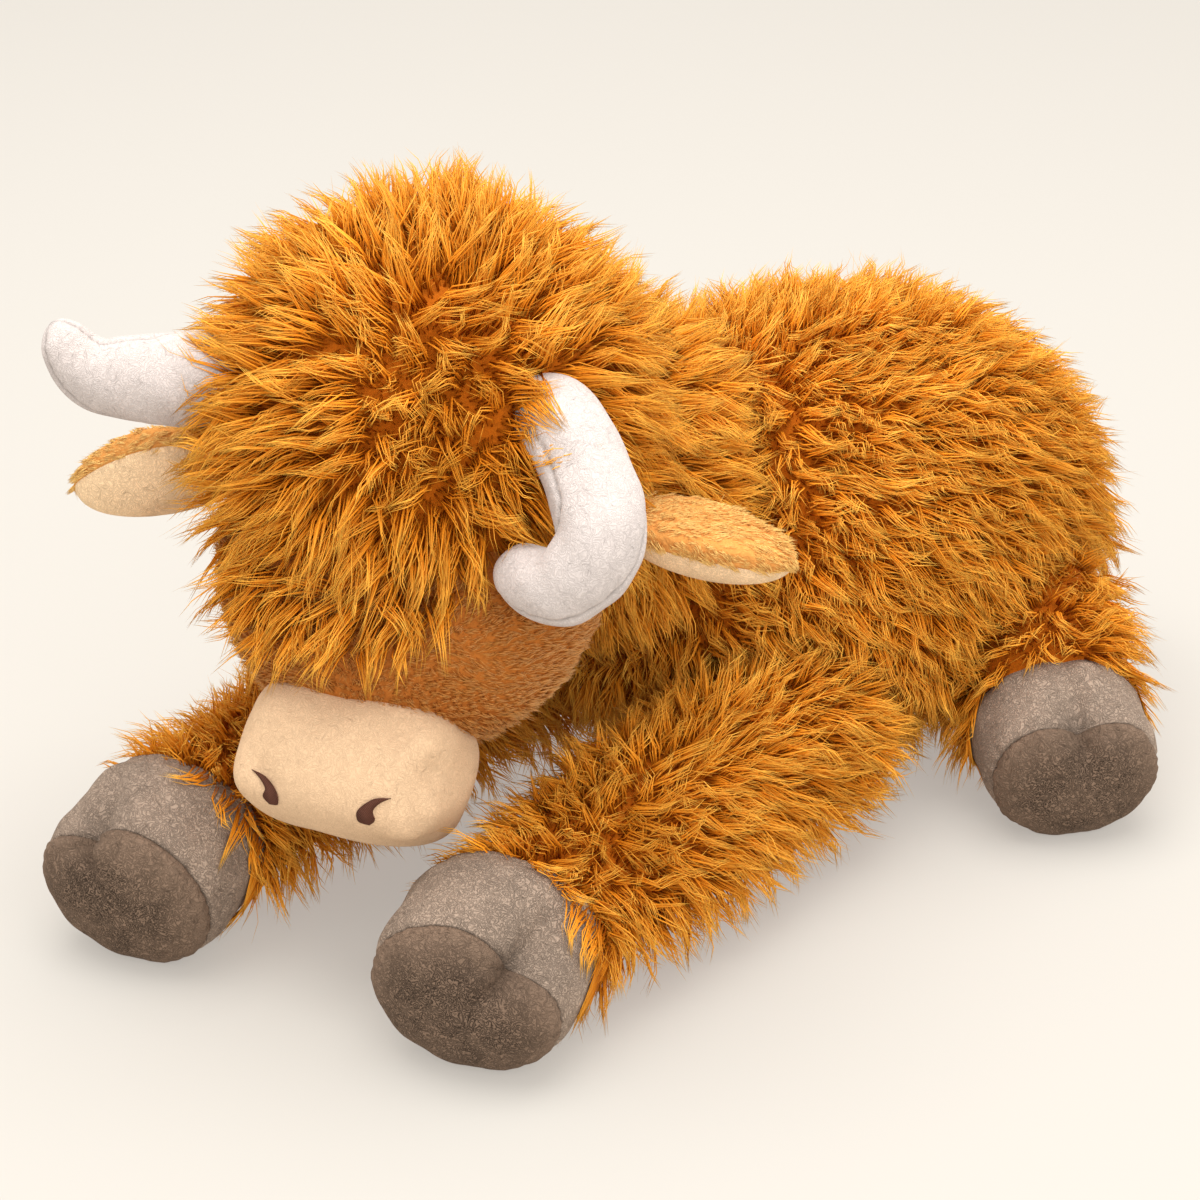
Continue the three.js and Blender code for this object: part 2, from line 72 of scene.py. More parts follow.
# The forelock's edge over the face: its places along the head frame's X and Y
FRINGE_ASIDE = (-0.105, -0.085, -0.065, -0.050, 0, 0.035, 0.055, 0.065, 0.080, 0.105)
FRINGE_EDGE = (-0.080, -0.095, -0.125, -0.150, -0.150, -0.142, -0.119, -0.100, -0.087, -0.077)
MUZZLE_PLACE = (0, -0.182, 0)
MUZZLE = HEAD @ Matrix.Translation(MUZZLE_PLACE)
MUZZLE_RADII = (0.063, 0.044, 0.044)
MUZZLE_PLUMP = 2.6
MUZZLE_CHIN = 0.88
# Each bulge or fold of the muzzle: its place in the muzzle's frame, its reach, and how far it stands out
MUZZLE_FOLDS = (
    ((0.048, 0.018, 0.029), 0.009, 0.0026), ((0.041, 0.005, 0.037), 0.008, 0.0022),
    ((0.034, 0.021, 0.034), 0.010, -0.0030), ((0.054, 0.003, 0.026), 0.009, -0.0028),
    ((0.046, -0.030, 0.022), 0.010, 0.0036), ((0.057, -0.017, 0.021), 0.009, 0.0020),
    ((0.051, -0.024, 0.023), 0.006, -0.0014), ((-0.045, -0.021, 0.030), 0.011, 0.0030),
    ((-0.036, -0.013, 0.038), 0.006, -0.0022), ((-0.028, -0.021, 0.038), 0.007, -0.0022),
    ((0.029, -0.022, 0.038), 0.008, -0.0014), ((-0.020, 0.018, 0.040), 0.016, -0.0014),
)
NOSTRIL_TOP = ((0.0395, -0.0142), (0.0320, -0.0160), (0.0268, -0.0195), (0.0228, -0.0245),
               (0.0235, -0.0285), (0.0285, -0.0292))
NOSTRIL_UNDER = ((0.0285, -0.0292), (0.0318, -0.0262), (0.0306, -0.0222), (0.0338, -0.0180),
                 (0.0395, -0.0142))
HORN_SINK = 0.040
HORN_THICKEST = 0.023
HORN_STEPS = 40
# Each horn's radius at its root and at its tip, and the power of its taper
HORN_TAPER = {"left": (0.0230, 0.0115, 3.2), "right": (0.0252, 0.0100, 2.4)}
HORN_CURVES = {
    "left": [(0.094, 0.003, 0.061), (0.121, -0.024, 0.067), (0.135, -0.054, 0.072), (0.120, -0.077, 0.068),
             (0.079, -0.071, 0.056)],
    "right": [(-0.080, 0, 0.058), (-0.127, -0.010, 0.072), (-0.157, -0.012, 0.084), (-0.177, 0.007, 0.101)],
}
HORN_SEAM_WAYS = (0, 0.5, 0.65, 0.8, 1)
HORN_SEAMS = {
    "left": ((-0.23, -0.20, -0.03, 0.0, 0.0), (-0.62, -0.60, -0.54, -0.45, -0.42)),
    "right": ((-0.04, -0.04, -0.04, -0.04, -0.05), (-0.50, -0.49, -0.46, -0.40, -0.36)),
}
# Ears: roots in the head's frame, and how each is turned in degrees and stretched against its usual size
EAR_ROOTS = {"left": (0.109, -0.027, -0.006), "right": (-0.108, -0.030, -0.006)}
EAR = {"length": 0.100, "half_width": 0.027, "half_thickness": 0.014}
EAR_POSE = {"left": {"droop": 18, "back": 3, "roll": -62, "wide": 1.08, "long": 0.965, "wrap": 18},
            "right": {"droop": 3, "back": -20, "roll": -108, "wide": 1.25, "long": 1.01, "wrap": 24}}
# Each leg: pivot and heading, how far off the hoof's middle is, the hoof's radius and turn, and its cleft
LEG_ROWS = {
    "foreleg_left": ((0.076, -0.110, 0.0655), 5.7, 0.272, 0.055, 14, 43),
    "foreleg_right": ((-0.114, -0.151, 0.0655), 2.1, 0.272, 0.055, 12, -24),
    "hind_leg_left": ((0.104, 0.068, 0.0735), 55, 0.088, 0.051, -4, 0),
    "hind_leg_right": ((-0.066, 0.114, 0.0735), -80, 0.088, 0.051, 4, 0),
}
LEG_WORDS = ("pivot", "heading", "reach", "hoof", "turn", "cleft")
LEGS = {name: dict(zip(LEG_WORDS, row)) for name, row in LEG_ROWS.items()}
HOOF_TILT = 13
HOOF_HEIGHT = 0.88
# Rings of a hoof, as shares of its radius: how far along it they are, and how wide. The last is its seam
HOOF_ALONG = (-0.54, -0.27, 0.28, 0.56)
HOOF_WIDE = (0.9, 1.0, 1.0, 0.96)
SOLE_RISE = 0.4
SEAM_GAP = 0.0003
# The fold in a hoof's cleft and the wrinkles round it
CLEFT_DEPTH = 0.0135
CLEFT_WIDTH = 0.0075
CLEFT_PINCH = 0.24
WRINKLE_DEPTH = 0.0019
WRINKLE_REACH = 0.026
PUCKER_DEPTH = 0.0005
# Tail: its root in the shared frame, its bends and tuft in the body's, in millimetres right, back and up
TAIL_ROOT = (0.050623, 0.173875, 0.170)
TAIL_BENDS = ((6, 201.2, 21), (18, 202.7, -28))
TAIL_RADIUS = 0.007
TUFT_PLACE = (18, 213.2, -48)
TUFT_RADII = (0.021, 0.021, 0.040)
BODY_BEND = 0.008
MM = 0.001
# The photograph's camera, in degrees and metres
CAMERA_TARGET = (-0.0486, -0.1295, 0.117)
CAMERA_AZIMUTH = 42
CAMERA_ELEVATION = 25
CAMERA_DISTANCE = 2.07
CAMERA_ANGLE = 19
SENSOR_WIDTH = 36
BODY_NODES = frame["record"]["behaviour"]["bodies"]
FUR_TOP = 0.418
LOWEST = 0.0004
WELD = 1e-5


# Colours: defaults are written as they look, and kept as light

def light_of(*shown):
    """The linear colour of one written as 0 to 255 on a screen."""
    shares = [value / 255 for value in shown]
    return tuple(v / 12.92 if v <= 0.04045 else ((v + 0.055) / 1.055) ** 2.4 for v in shares)


def colour_prop(name, description, *shown):
    return bpy.props.FloatVectorProperty(
        name=name, description=description, subtype="COLOR", size=3, min=0, max=1, default=light_of(*shown))


def number_prop(name, description, default, low, high, unit="NONE"):
    """A length or a power with its unit, or else a share."""
    kind = "FACTOR" if unit == "NONE" else "NONE"
    return bpy.props.FloatProperty(
        name=name, description=description, default=default, min=low, max=high, unit=unit, subtype=kind)


class PlushCowFur(bpy.types.PropertyGroup):
    """The long fur and the short pile."""
    length: number_prop("Lock length", "Length of a lock on the body", 0.034, 0.01, 0.06, "LENGTH")
    head_length: number_prop("Head lock length", "Length of a lock on the head", 0.040, 0.01, 0.07, "LENGTH")
    hair_width: number_prop("Hair width", "Width of one bundle of hairs at its root", 0.00108, 0.0003, 0.003,
                            "LENGTH")
    pile_length: number_prop("Short pile length", "Length of the pile on the face and the ears", 0.0075,
                             0.002, 0.02, "LENGTH")
    density: number_prop("Density", "Share of the usual number of hairs", 1.0, 0.1, 1.2)
    root: colour_prop("Root colour", "Long fur at the cloth", 168, 86, 12)
    middle: colour_prop("Middle colour", "Long fur half way up", 242, 154, 42)
    tip: colour_prop("Tip colour", "Long fur at its tips", 255, 200, 94)
    pile_root: colour_prop("Pile root colour", "Short pile at the cloth", 176, 104, 42)
    pile_middle: colour_prop("Pile middle colour", "Short pile half way up", 214, 146, 76)
    pile_tip: colour_prop("Pile tip colour", "Short pile at its tips", 240, 188, 128)
    ear_tip: colour_prop("Ear tip colour", "Pile on the ears at its tips", 255, 206, 126)


class PlushCowCloth(bpy.types.PropertyGroup):
    """The short-pile cloths and the thread."""
    cream: colour_prop("Cream", "Muzzle", 214, 180, 144)
    lining: colour_prop("Lining", "Ear linings", 242, 206, 164)
    white: colour_prop("White", "Horns", 197, 186, 180)
    taupe: colour_prop("Taupe", "Hoof uppers", 149, 130, 114)
    # The soles' dark taupe is partly their own darker cloth and partly painted shade, as they face down and
    # away from the light.
    dark: colour_prop("Dark taupe", "Hoof soles", 107, 88, 73)
    thread: colour_prop("Thread", "Embroidered nostrils", 96, 58, 44)
    seam_depth: number_prop("Seam depth", "Depth of a sewn seam", 0.0018, 0, 0.004, "LENGTH")


class PlushCowStage(bpy.types.PropertyGroup):
    """The floor and the studio light."""
    floor: colour_prop("Floor", "Seamless pale floor", 148, 144, 137)
    backdrop: colour_prop("Backdrop", "What is seen beyond the floor", 250, 243, 234)
    # The floor glows though it is no lamp: painted light that lightens the shadows on it.
    glow: number_prop("Floor glow", "Light that the pale floor lets through", 0.40, 0, 1)
    key_power: number_prop("Key light", "Power of the large soft light", 64, 0, 200, "POWER")
    fill_power: number_prop("Fill light", "Power of the light from the side", 16, 0, 200, "POWER")
    sky: number_prop("Surround", "Strength of the light from all round", 1.12, 0, 2)


# Shader maths

class Value:
    """A socket that can be used in arithmetic."""

    def __init__(self, shader, socket):
        self.shader = shader
        self.socket = socket

    def __add__(self, other):
        return self.shader.maths("ADD", self, other)

    def __sub__(self, other):
        return self.shader.maths("SUBTRACT", self, other)

    def __mul__(self, other):
        return self.shader.maths("MULTIPLY", self, other)


# Sockets of a Mix node for colours, which have the same names as those for numbers
MIX_SHARE, MIX_FIRST, MIX_SECOND, MIX_RESULT = 0, 6, 7, 2


class Shader:
    """The nodes of one material. Its constants are the shader's own sockets, with _ for each space."""

    def __init__(self, name, **constants):
        self.material = bpy.data.materials.new(name)
        self.material.use_nodes = True
        self.tree = self.material.node_tree
        self.surface = self.tree.nodes["Principled BSDF"]
        for label, value in constants.items():
            self.surface.inputs[label.replace("_", " ")].default_value = value

    def node(self, kind, settings=None, sockets=None, output=0):
        made = self.tree.nodes.new(kind)
        for name, value in (settings or {}).items():
            if name == "stops":
                self.set_stops(made.color_ramp, value)
            else:
                setattr(made, name, value)
        for name, value in (sockets or {}).items():
            self.feed(made.inputs[name], value)
        return Value(self, made.outputs[output])

    def set_stops(self, ramp, stops):
        for place, _ in stops[2:]:
            ramp.elements.new(place)
        for element, (place, shade) in zip(ramp.elements, sorted(stops)):
            element.position = place
            element.color = (*shade, 1)

    def feed(self, socket, value):
        if isinstance(value, Value):
            self.tree.links.new(value.socket, socket)
        else:
            socket.default_value = (*value, 1) if socket.type == "RGBA" and len(value) == 3 else value

    def maths(self, operation, *values):
        return self.node("ShaderNodeMath", {"operation": operation}, dict(enumerate(values)))

    def mix(self, share, first, second, blend="MIX"):
        return self.node("ShaderNodeMix", {"data_type": "RGBA", "blend_type": blend, "clamp_factor": True},
                         {MIX_SHARE: share, MIX_FIRST: first, MIX_SECOND: second}, MIX_RESULT)

    def noise(self, scale, detail, distortion=0.0):
        where = self.node("ShaderNodeTexCoord", output="Object")
        return self.node("ShaderNodeTexNoise", None,
                         {"Vector": where, "Scale": scale, "Detail": detail, "Distortion": distortion})

    def attribute(self, name):
        return self.node("ShaderNodeAttribute", {"attribute_name": name}, output="Fac")

    def relief(self, height, depth):
        bump = self.node("ShaderNodeBump", None, {"Height": height, "Distance": depth, "Strength": 1.0})
        self.feed(self.surface.inputs["Normal"], bump)

    def paint(self, colour):
        self.feed(self.surface.inputs["Base Color"], colour)


def settings():
    return bpy.context.scene.plush_cow_fur, bpy.context.scene.plush_cow_cloth


def darker(colour, share):
    return tuple(value * share for value in colour)


def once(paint):
    """A finish that is made the first time its name comes, and found after that."""
    def finish(name, *rest):
        return bpy.data.materials.get(name) or paint(name, *rest)

    return finish


@once
def hair_finish(name, root, middle, tip, dark=(0.62, 0.49, 0.28), light=(1.12, 1.15, 1.06)):
    """Hair: its colour runs from root to tip along the map's height, and its tone across the map's width."""
    shader = Shader(name, Roughness=0.55, Specular_IOR_Level=0.12, Specular_Tint=(1.0, 0.62, 0.28, 1))
    where = shader.node("ShaderNodeUVMap", {"uv_map": "OFBake"})
    tone = shader.node("ShaderNodeSeparateXYZ", None, {0: where})
    height = Value(shader, tone.socket.node.outputs["Y"])
    stops = [(0.0, root), (1.0, tip), (0.42, middle)]
    along = shader.node("ShaderNodeValToRGB", {"stops": stops}, {0: height})
    low = shader.mix(1.0, along, dark, "MULTIPLY")
    high = shader.mix(1.0, along, light, "MULTIPLY")
    shader.paint(shader.mix(tone, low, high))
    return shader.material


@once
def cloth_finish(name, colour, nap_shade_and_crush, nap):
    """Short-pile cloth: fine curly nap with painted shade in its hollows, soft crush marks, painted rim light
    on the rims, and dark seams that are partly thread and partly painted shade, with painted shade in
    creases.
    """
    tint = (*(min(1, c * 1.5) for c in colour), 1)
    shader = Shader(name, Roughness=0.95, Specular_IOR_Level=0.1, Sheen_Weight=0.25, Sheen_Roughness=0.5,
                    Sheen_Tint=tint)
    flow = shader.noise(scale=210.0, detail=1.5, distortion=0.5)
    fine = shader.noise(scale=820.0, detail=1.0)
    wide = shader.noise(scale=48.0, detail=3.0, distortion=0.8)
    # The colour follows the nap's relief, as it shares the curls and fine noise: darker in its hollows as
    # painted shade and lighter on its curls as painted light. The wide noise adds soft crush marks.
    curls = shader.maths("SINE", flow * 70.0 + fine * 6.0) * 0.5 + 0.5
    tone = curls * 0.36 + fine * 0.18 + wide * 0.46
    level = shader.maths("MULTIPLY_ADD", tone - 0.5, 2.6, 0.5)
    raised = tuple(min(1, c * (1 + nap_shade_and_crush * 0.8)) for c in colour)
    cloth = shader.mix(level, darker(colour, 1 - nap_shade_and_crush), raised)
    # Painted rim light: lighter towards the rims of the soles, where the hoof sets the rim attribute.
    cloth = shader.mix(shader.attribute("rim"), cloth, darker(colour, 1.5))
    # Darker along the seam attribute: the seam line, partly thread and partly painted shade in its groove,
    # and painted shade in the hoof's cleft crease.
    shader.paint(shader.mix(shader.attribute("seam") * 0.6, cloth, darker(colour, 0.30)))
    shader.relief(curls * 0.7 + fine * 0.3, nap)
    return shader.material


@once
def skin_finish(name, colour):
    """The backing cloth between the hairs."""
    shader = Shader(name, Roughness=1.0, Specular_IOR_Level=0.1)
    grain = shader.noise(scale=320.0, detail=3.0)
    shader.paint(shader.mix(grain, darker(colour, 0.7), darker(colour, 1.3)))
    shader.relief(grain, 0.002)
    return shader.material


@once
def thread_finish(name, colour):
    """Satin stitches: close parallel threads."""
    shader = Shader(name, Roughness=0.6, Specular_IOR_Level=0.12)
    where = shader.node("ShaderNodeTexCoord", output="Object")
    wave = shader.node("ShaderNodeTexWave", {"wave_type": "BANDS", "bands_direction": "DIAGONAL"},
                       {"Vector": where, "Scale": 420.0, "Distortion": 1.2}, output=1)
    shader.paint(shader.mix(wave, darker(colour, 0.6), darker(colour, 1.3)))
    shader.relief(wave, 0.0004)
    return shader.material


# Mesh helpers

def placed(name, data):
    """An object of its own for some data."""
    made = bpy.data.objects.new(name, data)
    bpy.context.scene.collection.objects.link(made)
    return made


def mesh_of(name, bm):
    mesh = bpy.data.meshes.new(name)
    bm.to_mesh(mesh)
    bm.free()
    return mesh


def made_piece(name, source, material, body, replaces=()):
    """An object for a finished bmesh or mesh, riding on its body."""
    mesh = mesh_of(name, source) if isinstance(source, bmesh.types.BMesh) else source
    mesh.shade_smooth()
    mesh.materials.append(material)
    piece = placed(name, mesh)
    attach(piece, body)
    if replaces:
        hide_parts(*replaces)
    return piece


def plump(bm, radii, power, place):
    """Turns a unit sphere into a plump form, as in the part's source."""
    for vert in bm.verts:
        p = vert.co.normalized()
        p /= sum(abs(value) ** power for value in p) ** (1 / power)
        vert.co = place @ Vector((p.x * radii[0], p.y * radii[1], p.z * radii[2]))
    return bm


def settled(bm):
    """Sorts what a form is made of, because Blender welds and cuts it in a different order each run. No two
    places of a form lie equally far along the direction used."""
    across = Vector((0.5432, 0.7213, 1.0))
    bm.verts.sort(key=lambda vert: vert.co.dot(across))
    bm.edges.sort(key=lambda edge: (edge.verts[0].co + edge.verts[1].co).dot(across))
    bm.faces.sort(key=lambda face: face.calc_center_median().dot(across))
    return bm


def ball(segments, rings):
    bm = bmesh.new()
    bmesh.ops.create_uvsphere(bm, u_segments=segments, v_segments=rings, radius=1)
    return settled(bm)


def reshape(bm, place, change):
    """Moves each vertex by a function of its place in a frame."""
    inward = place.inverted()
    for vert in bm.verts:
        vert.co = place @ Vector(change(*(inward @ vert.co)))


def share_of(value):
    """A number, held between 0 and 1."""
    return min(1, max(0, value))


def rolled(sides, rings, point_at):
    """A tube from a grid that is rolled up. point_at has the turn round the tube and the way along it, both
    0 to 1, and gives the place and how much of a seam is there."""
    bm = bmesh.new()
    bmesh.ops.create_grid(bm, x_segments=sides, y_segments=rings, size=0.5)
    layer = bm.verts.layers.float.new("seam")
    for vert in bm.verts:
        vert.co, vert[layer] = point_at(vert.co.x + 0.5, vert.co.y + 0.5)
    bmesh.ops.remove_doubles(bm, verts=bm.verts, dist=WELD)
    bmesh.ops.recalc_face_normals(bm, faces=bm.faces)
    return bm


def push(bm, amount):
    """Moves each vertex along its normal by a function of its place."""
    bm.normal_update()
    points = np.array([vert.co[:] for vert in bm.verts])
    for vert, step in zip(bm.verts, amount(points)):
        vert.co += vert.normal * step


# Curves, as the part's source bends them

def bent_curve(points, count):
    """Points at equal steps along a centripetal Catmull-Rom curve."""
    p = [np.array(point, float) for point in points]
    p = [2 * p[0] - p[1], *p, 2 * p[-1] - p[-2]]
    dense = []
    for a, b, c, d in zip(p, p[1:], p[2:], p[3:]):
        t = np.cumsum([0, *(np.linalg.norm(v) ** 0.5 for v in (b - a, c - b, d - c))])

        def between(first, second, start, stop):
            return first + (second - first) * (x - t[start]) / (t[stop] - t[start])

        for x in np.linspace(t[1], t[2], 40, endpoint=False):
            middle = between(b, c, 1, 2)
            early = between(between(a, b, 0, 1), middle, 0, 2)
            late = between(middle, between(c, d, 2, 3), 1, 3)
            dense.append(between(early, late, 1, 2))
    dense = np.array([*dense, p[-2]])
    way = np.concatenate([[0], np.cumsum(np.linalg.norm(np.diff(dense, axis=0), axis=1))])
    steps = np.linspace(0, way[-1], count)
    return np.stack([np.interp(steps, way, dense[:, axis]) for axis in range(3)], axis=1)


# Across a tube's seam: how wide its groove is, and the dark line along it, which is partly its thread and
# partly painted shade in the groove
SEAM_GROOVE = 0.0020
SEAM_LINE = 0.0009


def bent_tube(line, radius_at, sides, seam_at, groove, frame_of=Matrix()):
    """A tube on a curve. Its turn 0 faces the inside of the bend, and seam_at gives where a seam runs."""
    along = unit(np.gradient(line, axis=0))
    inward = flat_to(along, line.mean(axis=0) - line)
    beside = np.cross(along, inward)
    rings = len(line) - 1

    def point_at(turn, way):
        ring = round(way * rings)
        radius = radius_at(way)
        seam_line_and_shade = 0.0
        for seam in seam_at(way):
            off = (turn - seam + 0.5) % 1 - 0.5
            width = off * 2 * math.pi * max(radius, 1e-4)
            stitch = 0.75 + 0.25 * math.cos(way * rings * math.pi * 0.5)
            radius -= groove * math.exp(-(width / SEAM_GROOVE) ** 2) * min(1, radius / 0.01) * stitch
            seam_line_and_shade = max(seam_line_and_shade, math.exp(-(width / SEAM_LINE) ** 2) * stitch)
        angle = turn * 2 * math.pi
        side = inward[ring] * math.cos(angle) + beside[ring] * math.sin(angle)
        return frame_of @ Vector(line[ring] + side * radius), seam_line_and_shade

    return rolled(sides, rings, point_at)


# Directions on many points at once

def unit(v):
    return v / np.maximum(np.linalg.norm(v, axis=-1, keepdims=True), 1e-9)


def flat_to(normals, v):
    """The part of a direction that lies along the surface."""
    return unit(v - normals * np.sum(v * normals, axis=-1, keepdims=True))


def moved(matrix, points):
    """Points in a frame's own axes, taken to the shared frame."""
    matrix = np.array(matrix)
    return points @ matrix[:3, :3].T + matrix[:3, 3]


def local(frame_of, points):
    """Points in the shared frame, taken to a frame's own axes."""
    return moved(frame_of.inverted(), points)


def axis_of(frame_of, *axis):
    """A frame's direction, in the shared frame."""
    return np.array(frame_of.to_3x3() @ Vector(axis))


def bell(distance, width):
    """1 in the middle, and little beyond the width."""
    return np.exp(-(distance / width) ** 2)


def ripple(points, size, seed):
    """Smooth random waves over space, about -1 to 1: soft dents of stuffed cloth, and the sway of fur."""
    rng = np.random.default_rng(seed)
    total = np.zeros(len(points))
    for _ in range(5):
        wave = unit(rng.normal(size=3)) * (2 * math.pi / size) * rng.uniform(0.7, 1.5)
        total += np.sin(points @ wave + rng.uniform(0, 2 * math.pi))
    return total / 2.5


def horn_line(side, count):
    """The horn's middle line in the head's frame, from inside the head to the tip."""
    points = [np.array(point) for point in HORN_CURVES[side]]
    return bent_curve([points[0] * (1 - HORN_SINK / np.linalg.norm(points[0])), *points], count)


def horn_radius(side, way):
    """The horn's radius some way along, from inside the head to just before its round end."""
    root, tip, power = HORN_TAPER[side]
    return root + (tip - root) * np.clip((way - 0.35) / 0.65, 0, 1) ** power


def off_horns(points):
    """How far points lie outside the horns, as far as their middle lines and their thickest radius tell."""
    place = local(HEAD, points)
    lines = np.concatenate([horn_line(side, HORN_STEPS + 1) for side in HORN_CURVES])
    return np.linalg.norm(place[:, None] - lines, axis=2).min(axis=1) - HORN_THICKEST


def over_horns(hairs):
    """Lifts the stretches of hairs that would run through a horn out onto its cover."""
    spots = local(HEAD, hairs.reshape(-1, 3))
    clear = 0.0012
    for side in HORN_CURVES:
        middle = horn_line(side, HORN_STEPS + 1)
        near = np.all((spots > middle.min(axis=0) - 0.03) & (spots < middle.max(axis=0) + 0.03), axis=1)
        near = np.flatnonzero(near)
        gaps = spots[near][:, None] - middle
        far = np.linalg.norm(gaps, axis=2)
        closest = far.argmin(axis=1)
        size = horn_radius(side, closest / HORN_STEPS) + clear
        inside = far.min(axis=1) < size
        way_out = unit(gaps[np.arange(len(near)), closest][inside])
        spots[near[inside]] = middle[closest[inside]] + way_out * size[inside][:, None]
    return moved(HEAD, spots).reshape(hairs.shape)


def outside_plump(frame_of, radii, power, points):
    """About how far points lie outside a plump form."""
    p = local(frame_of, points)
    spread = np.sum(np.abs(p / np.array(radii)) ** power, axis=1) ** (1 / power)
    return np.linalg.norm(p, axis=1) * (1 - 1 / np.maximum(spread, 1e-6))


def off_face(points):
    return outside_plump(FACE, FACE_RADII, FACE_PLUMP, points)


def off_muzzle(points):
    return outside_plump(MUZZLE, MUZZLE_RADII, MUZZLE_PLUMP, points)


# Stuffed forms under the fur

def stuffed_form(nodes, swell, voxel=0.005, smoothing=10):
    """The solids' shape as one even mesh: remeshed, smoothed and a little swollen."""
    bm = bmesh.new()
    for node in nodes:
        bm.from_mesh(frame["nodes"][node].data)
    bmesh.ops.remove_doubles(bm, verts=bm.verts, dist=WELD)
    shape = placed("stuffed", mesh_of("stuffed", bm))
    remesh = shape.modifiers.new("even", "REMESH")
    remesh.mode = "VOXEL"
    remesh.voxel_size = voxel
    even = bpy.data.meshes.new_from_object(shape.evaluated_get(bpy.context.evaluated_depsgraph_get()))
    bpy.data.objects.remove(shape)
    bm = bmesh.new()
    bm.from_mesh(even)
    for _ in range(smoothing):
        bmesh.ops.smooth_vert(bm, verts=bm.verts, factor=0.5, use_axis_x=True, use_axis_y=True,
                              use_axis_z=True)
    push(bm, lambda points: swell + ripple(points, 0.07, 3) * 0.0015)
    for vert in bm.verts:
        vert.co.z = max(vert.co.z, 0.001)
    return bm


# Fur

def solid_tree(names):
    """The solids of some nodes, for finding what lies inside them."""
    points, faces = [], []
    for name in names:
        mesh = frame["nodes"][name].data
        start = len(points)
        points += [vert.co.copy() for vert in mesh.vertices]
        faces += [[start + corner for corner in face.vertices] for face in mesh.polygons]
    return BVHTree.FromPolygons(points, faces)


def buried(tree, points, normals, lift, margin=0.0015):
    """Which points, lifted off their surface, lie inside the solids."""
    result = np.zeros(len(points), bool)
    for index, place in enumerate(points + normals * lift):
        place = Vector(place)
        found, normal, _, _ = tree.find_nearest(place)
        result[index] = (place - found).dot(normal) < margin
    return result


class Coat:
    """The kept faces of a skin, on which hairs are scattered."""

    def __init__(self, mesh, keep):
        def read(things, name, kind):
            values = np.empty(len(things) * 3, kind)
            things.foreach_get(name, values)
            return values.reshape(-1, 3)

        mesh.calc_loop_triangles()
        corners = read(mesh.loop_triangles, "vertices", np.int32)
        self.points = read(mesh.vertices, "co", float)[corners]
        self.normals = read(mesh.vertices, "normal", float)[corners]
        kept = keep(self.points.mean(axis=1), unit(self.normals.mean(axis=1)))
        self.points = self.points[kept]
        self.normals = self.normals[kept]
        edges = self.points[:, 1:] - self.points[:, :1]
        self.areas = np.linalg.norm(np.cross(edges[:, 0], edges[:, 1]), axis=1) / 2

    def scatter(self, per_cm2, rng):
        expected = self.areas * per_cm2 * 1e4
        counts = np.floor(expected + rng.random(len(expected))).astype(int)
        pick = np.repeat(np.arange(len(counts)), counts)
        shares = rng.random((len(pick), 2))
        root = np.sqrt(shares[:, 0])
        weights = np.stack([1 - root, root * (1 - shares[:, 1]), root * shares[:, 1]], axis=1)[:, :, None]
        return (self.points[pick] * weights).sum(axis=1), unit((self.normals[pick] * weights).sum(axis=1))


def bent_hair(normals, comb, length, lean, steps):
    """Steps along a hair that leans over evenly, from its first angle off the normal to its last."""
    first, last = lean
    angle = first[:, None] + (last - first)[:, None] * steps
    change = (last - first)[:, None]
    rise = length[:, None] * (np.sin(angle) - np.sin(first)[:, None]) / change
    run = length[:, None] * (np.cos(first)[:, None] - np.cos(angle)) / change
    return normals[:, None] * rise[..., None] + comb[:, None] * run[..., None]


# The map that colours the hairs: bands of tone over its width, and how many of them a hair spans
TONES = 64
TONES_ACROSS = 14


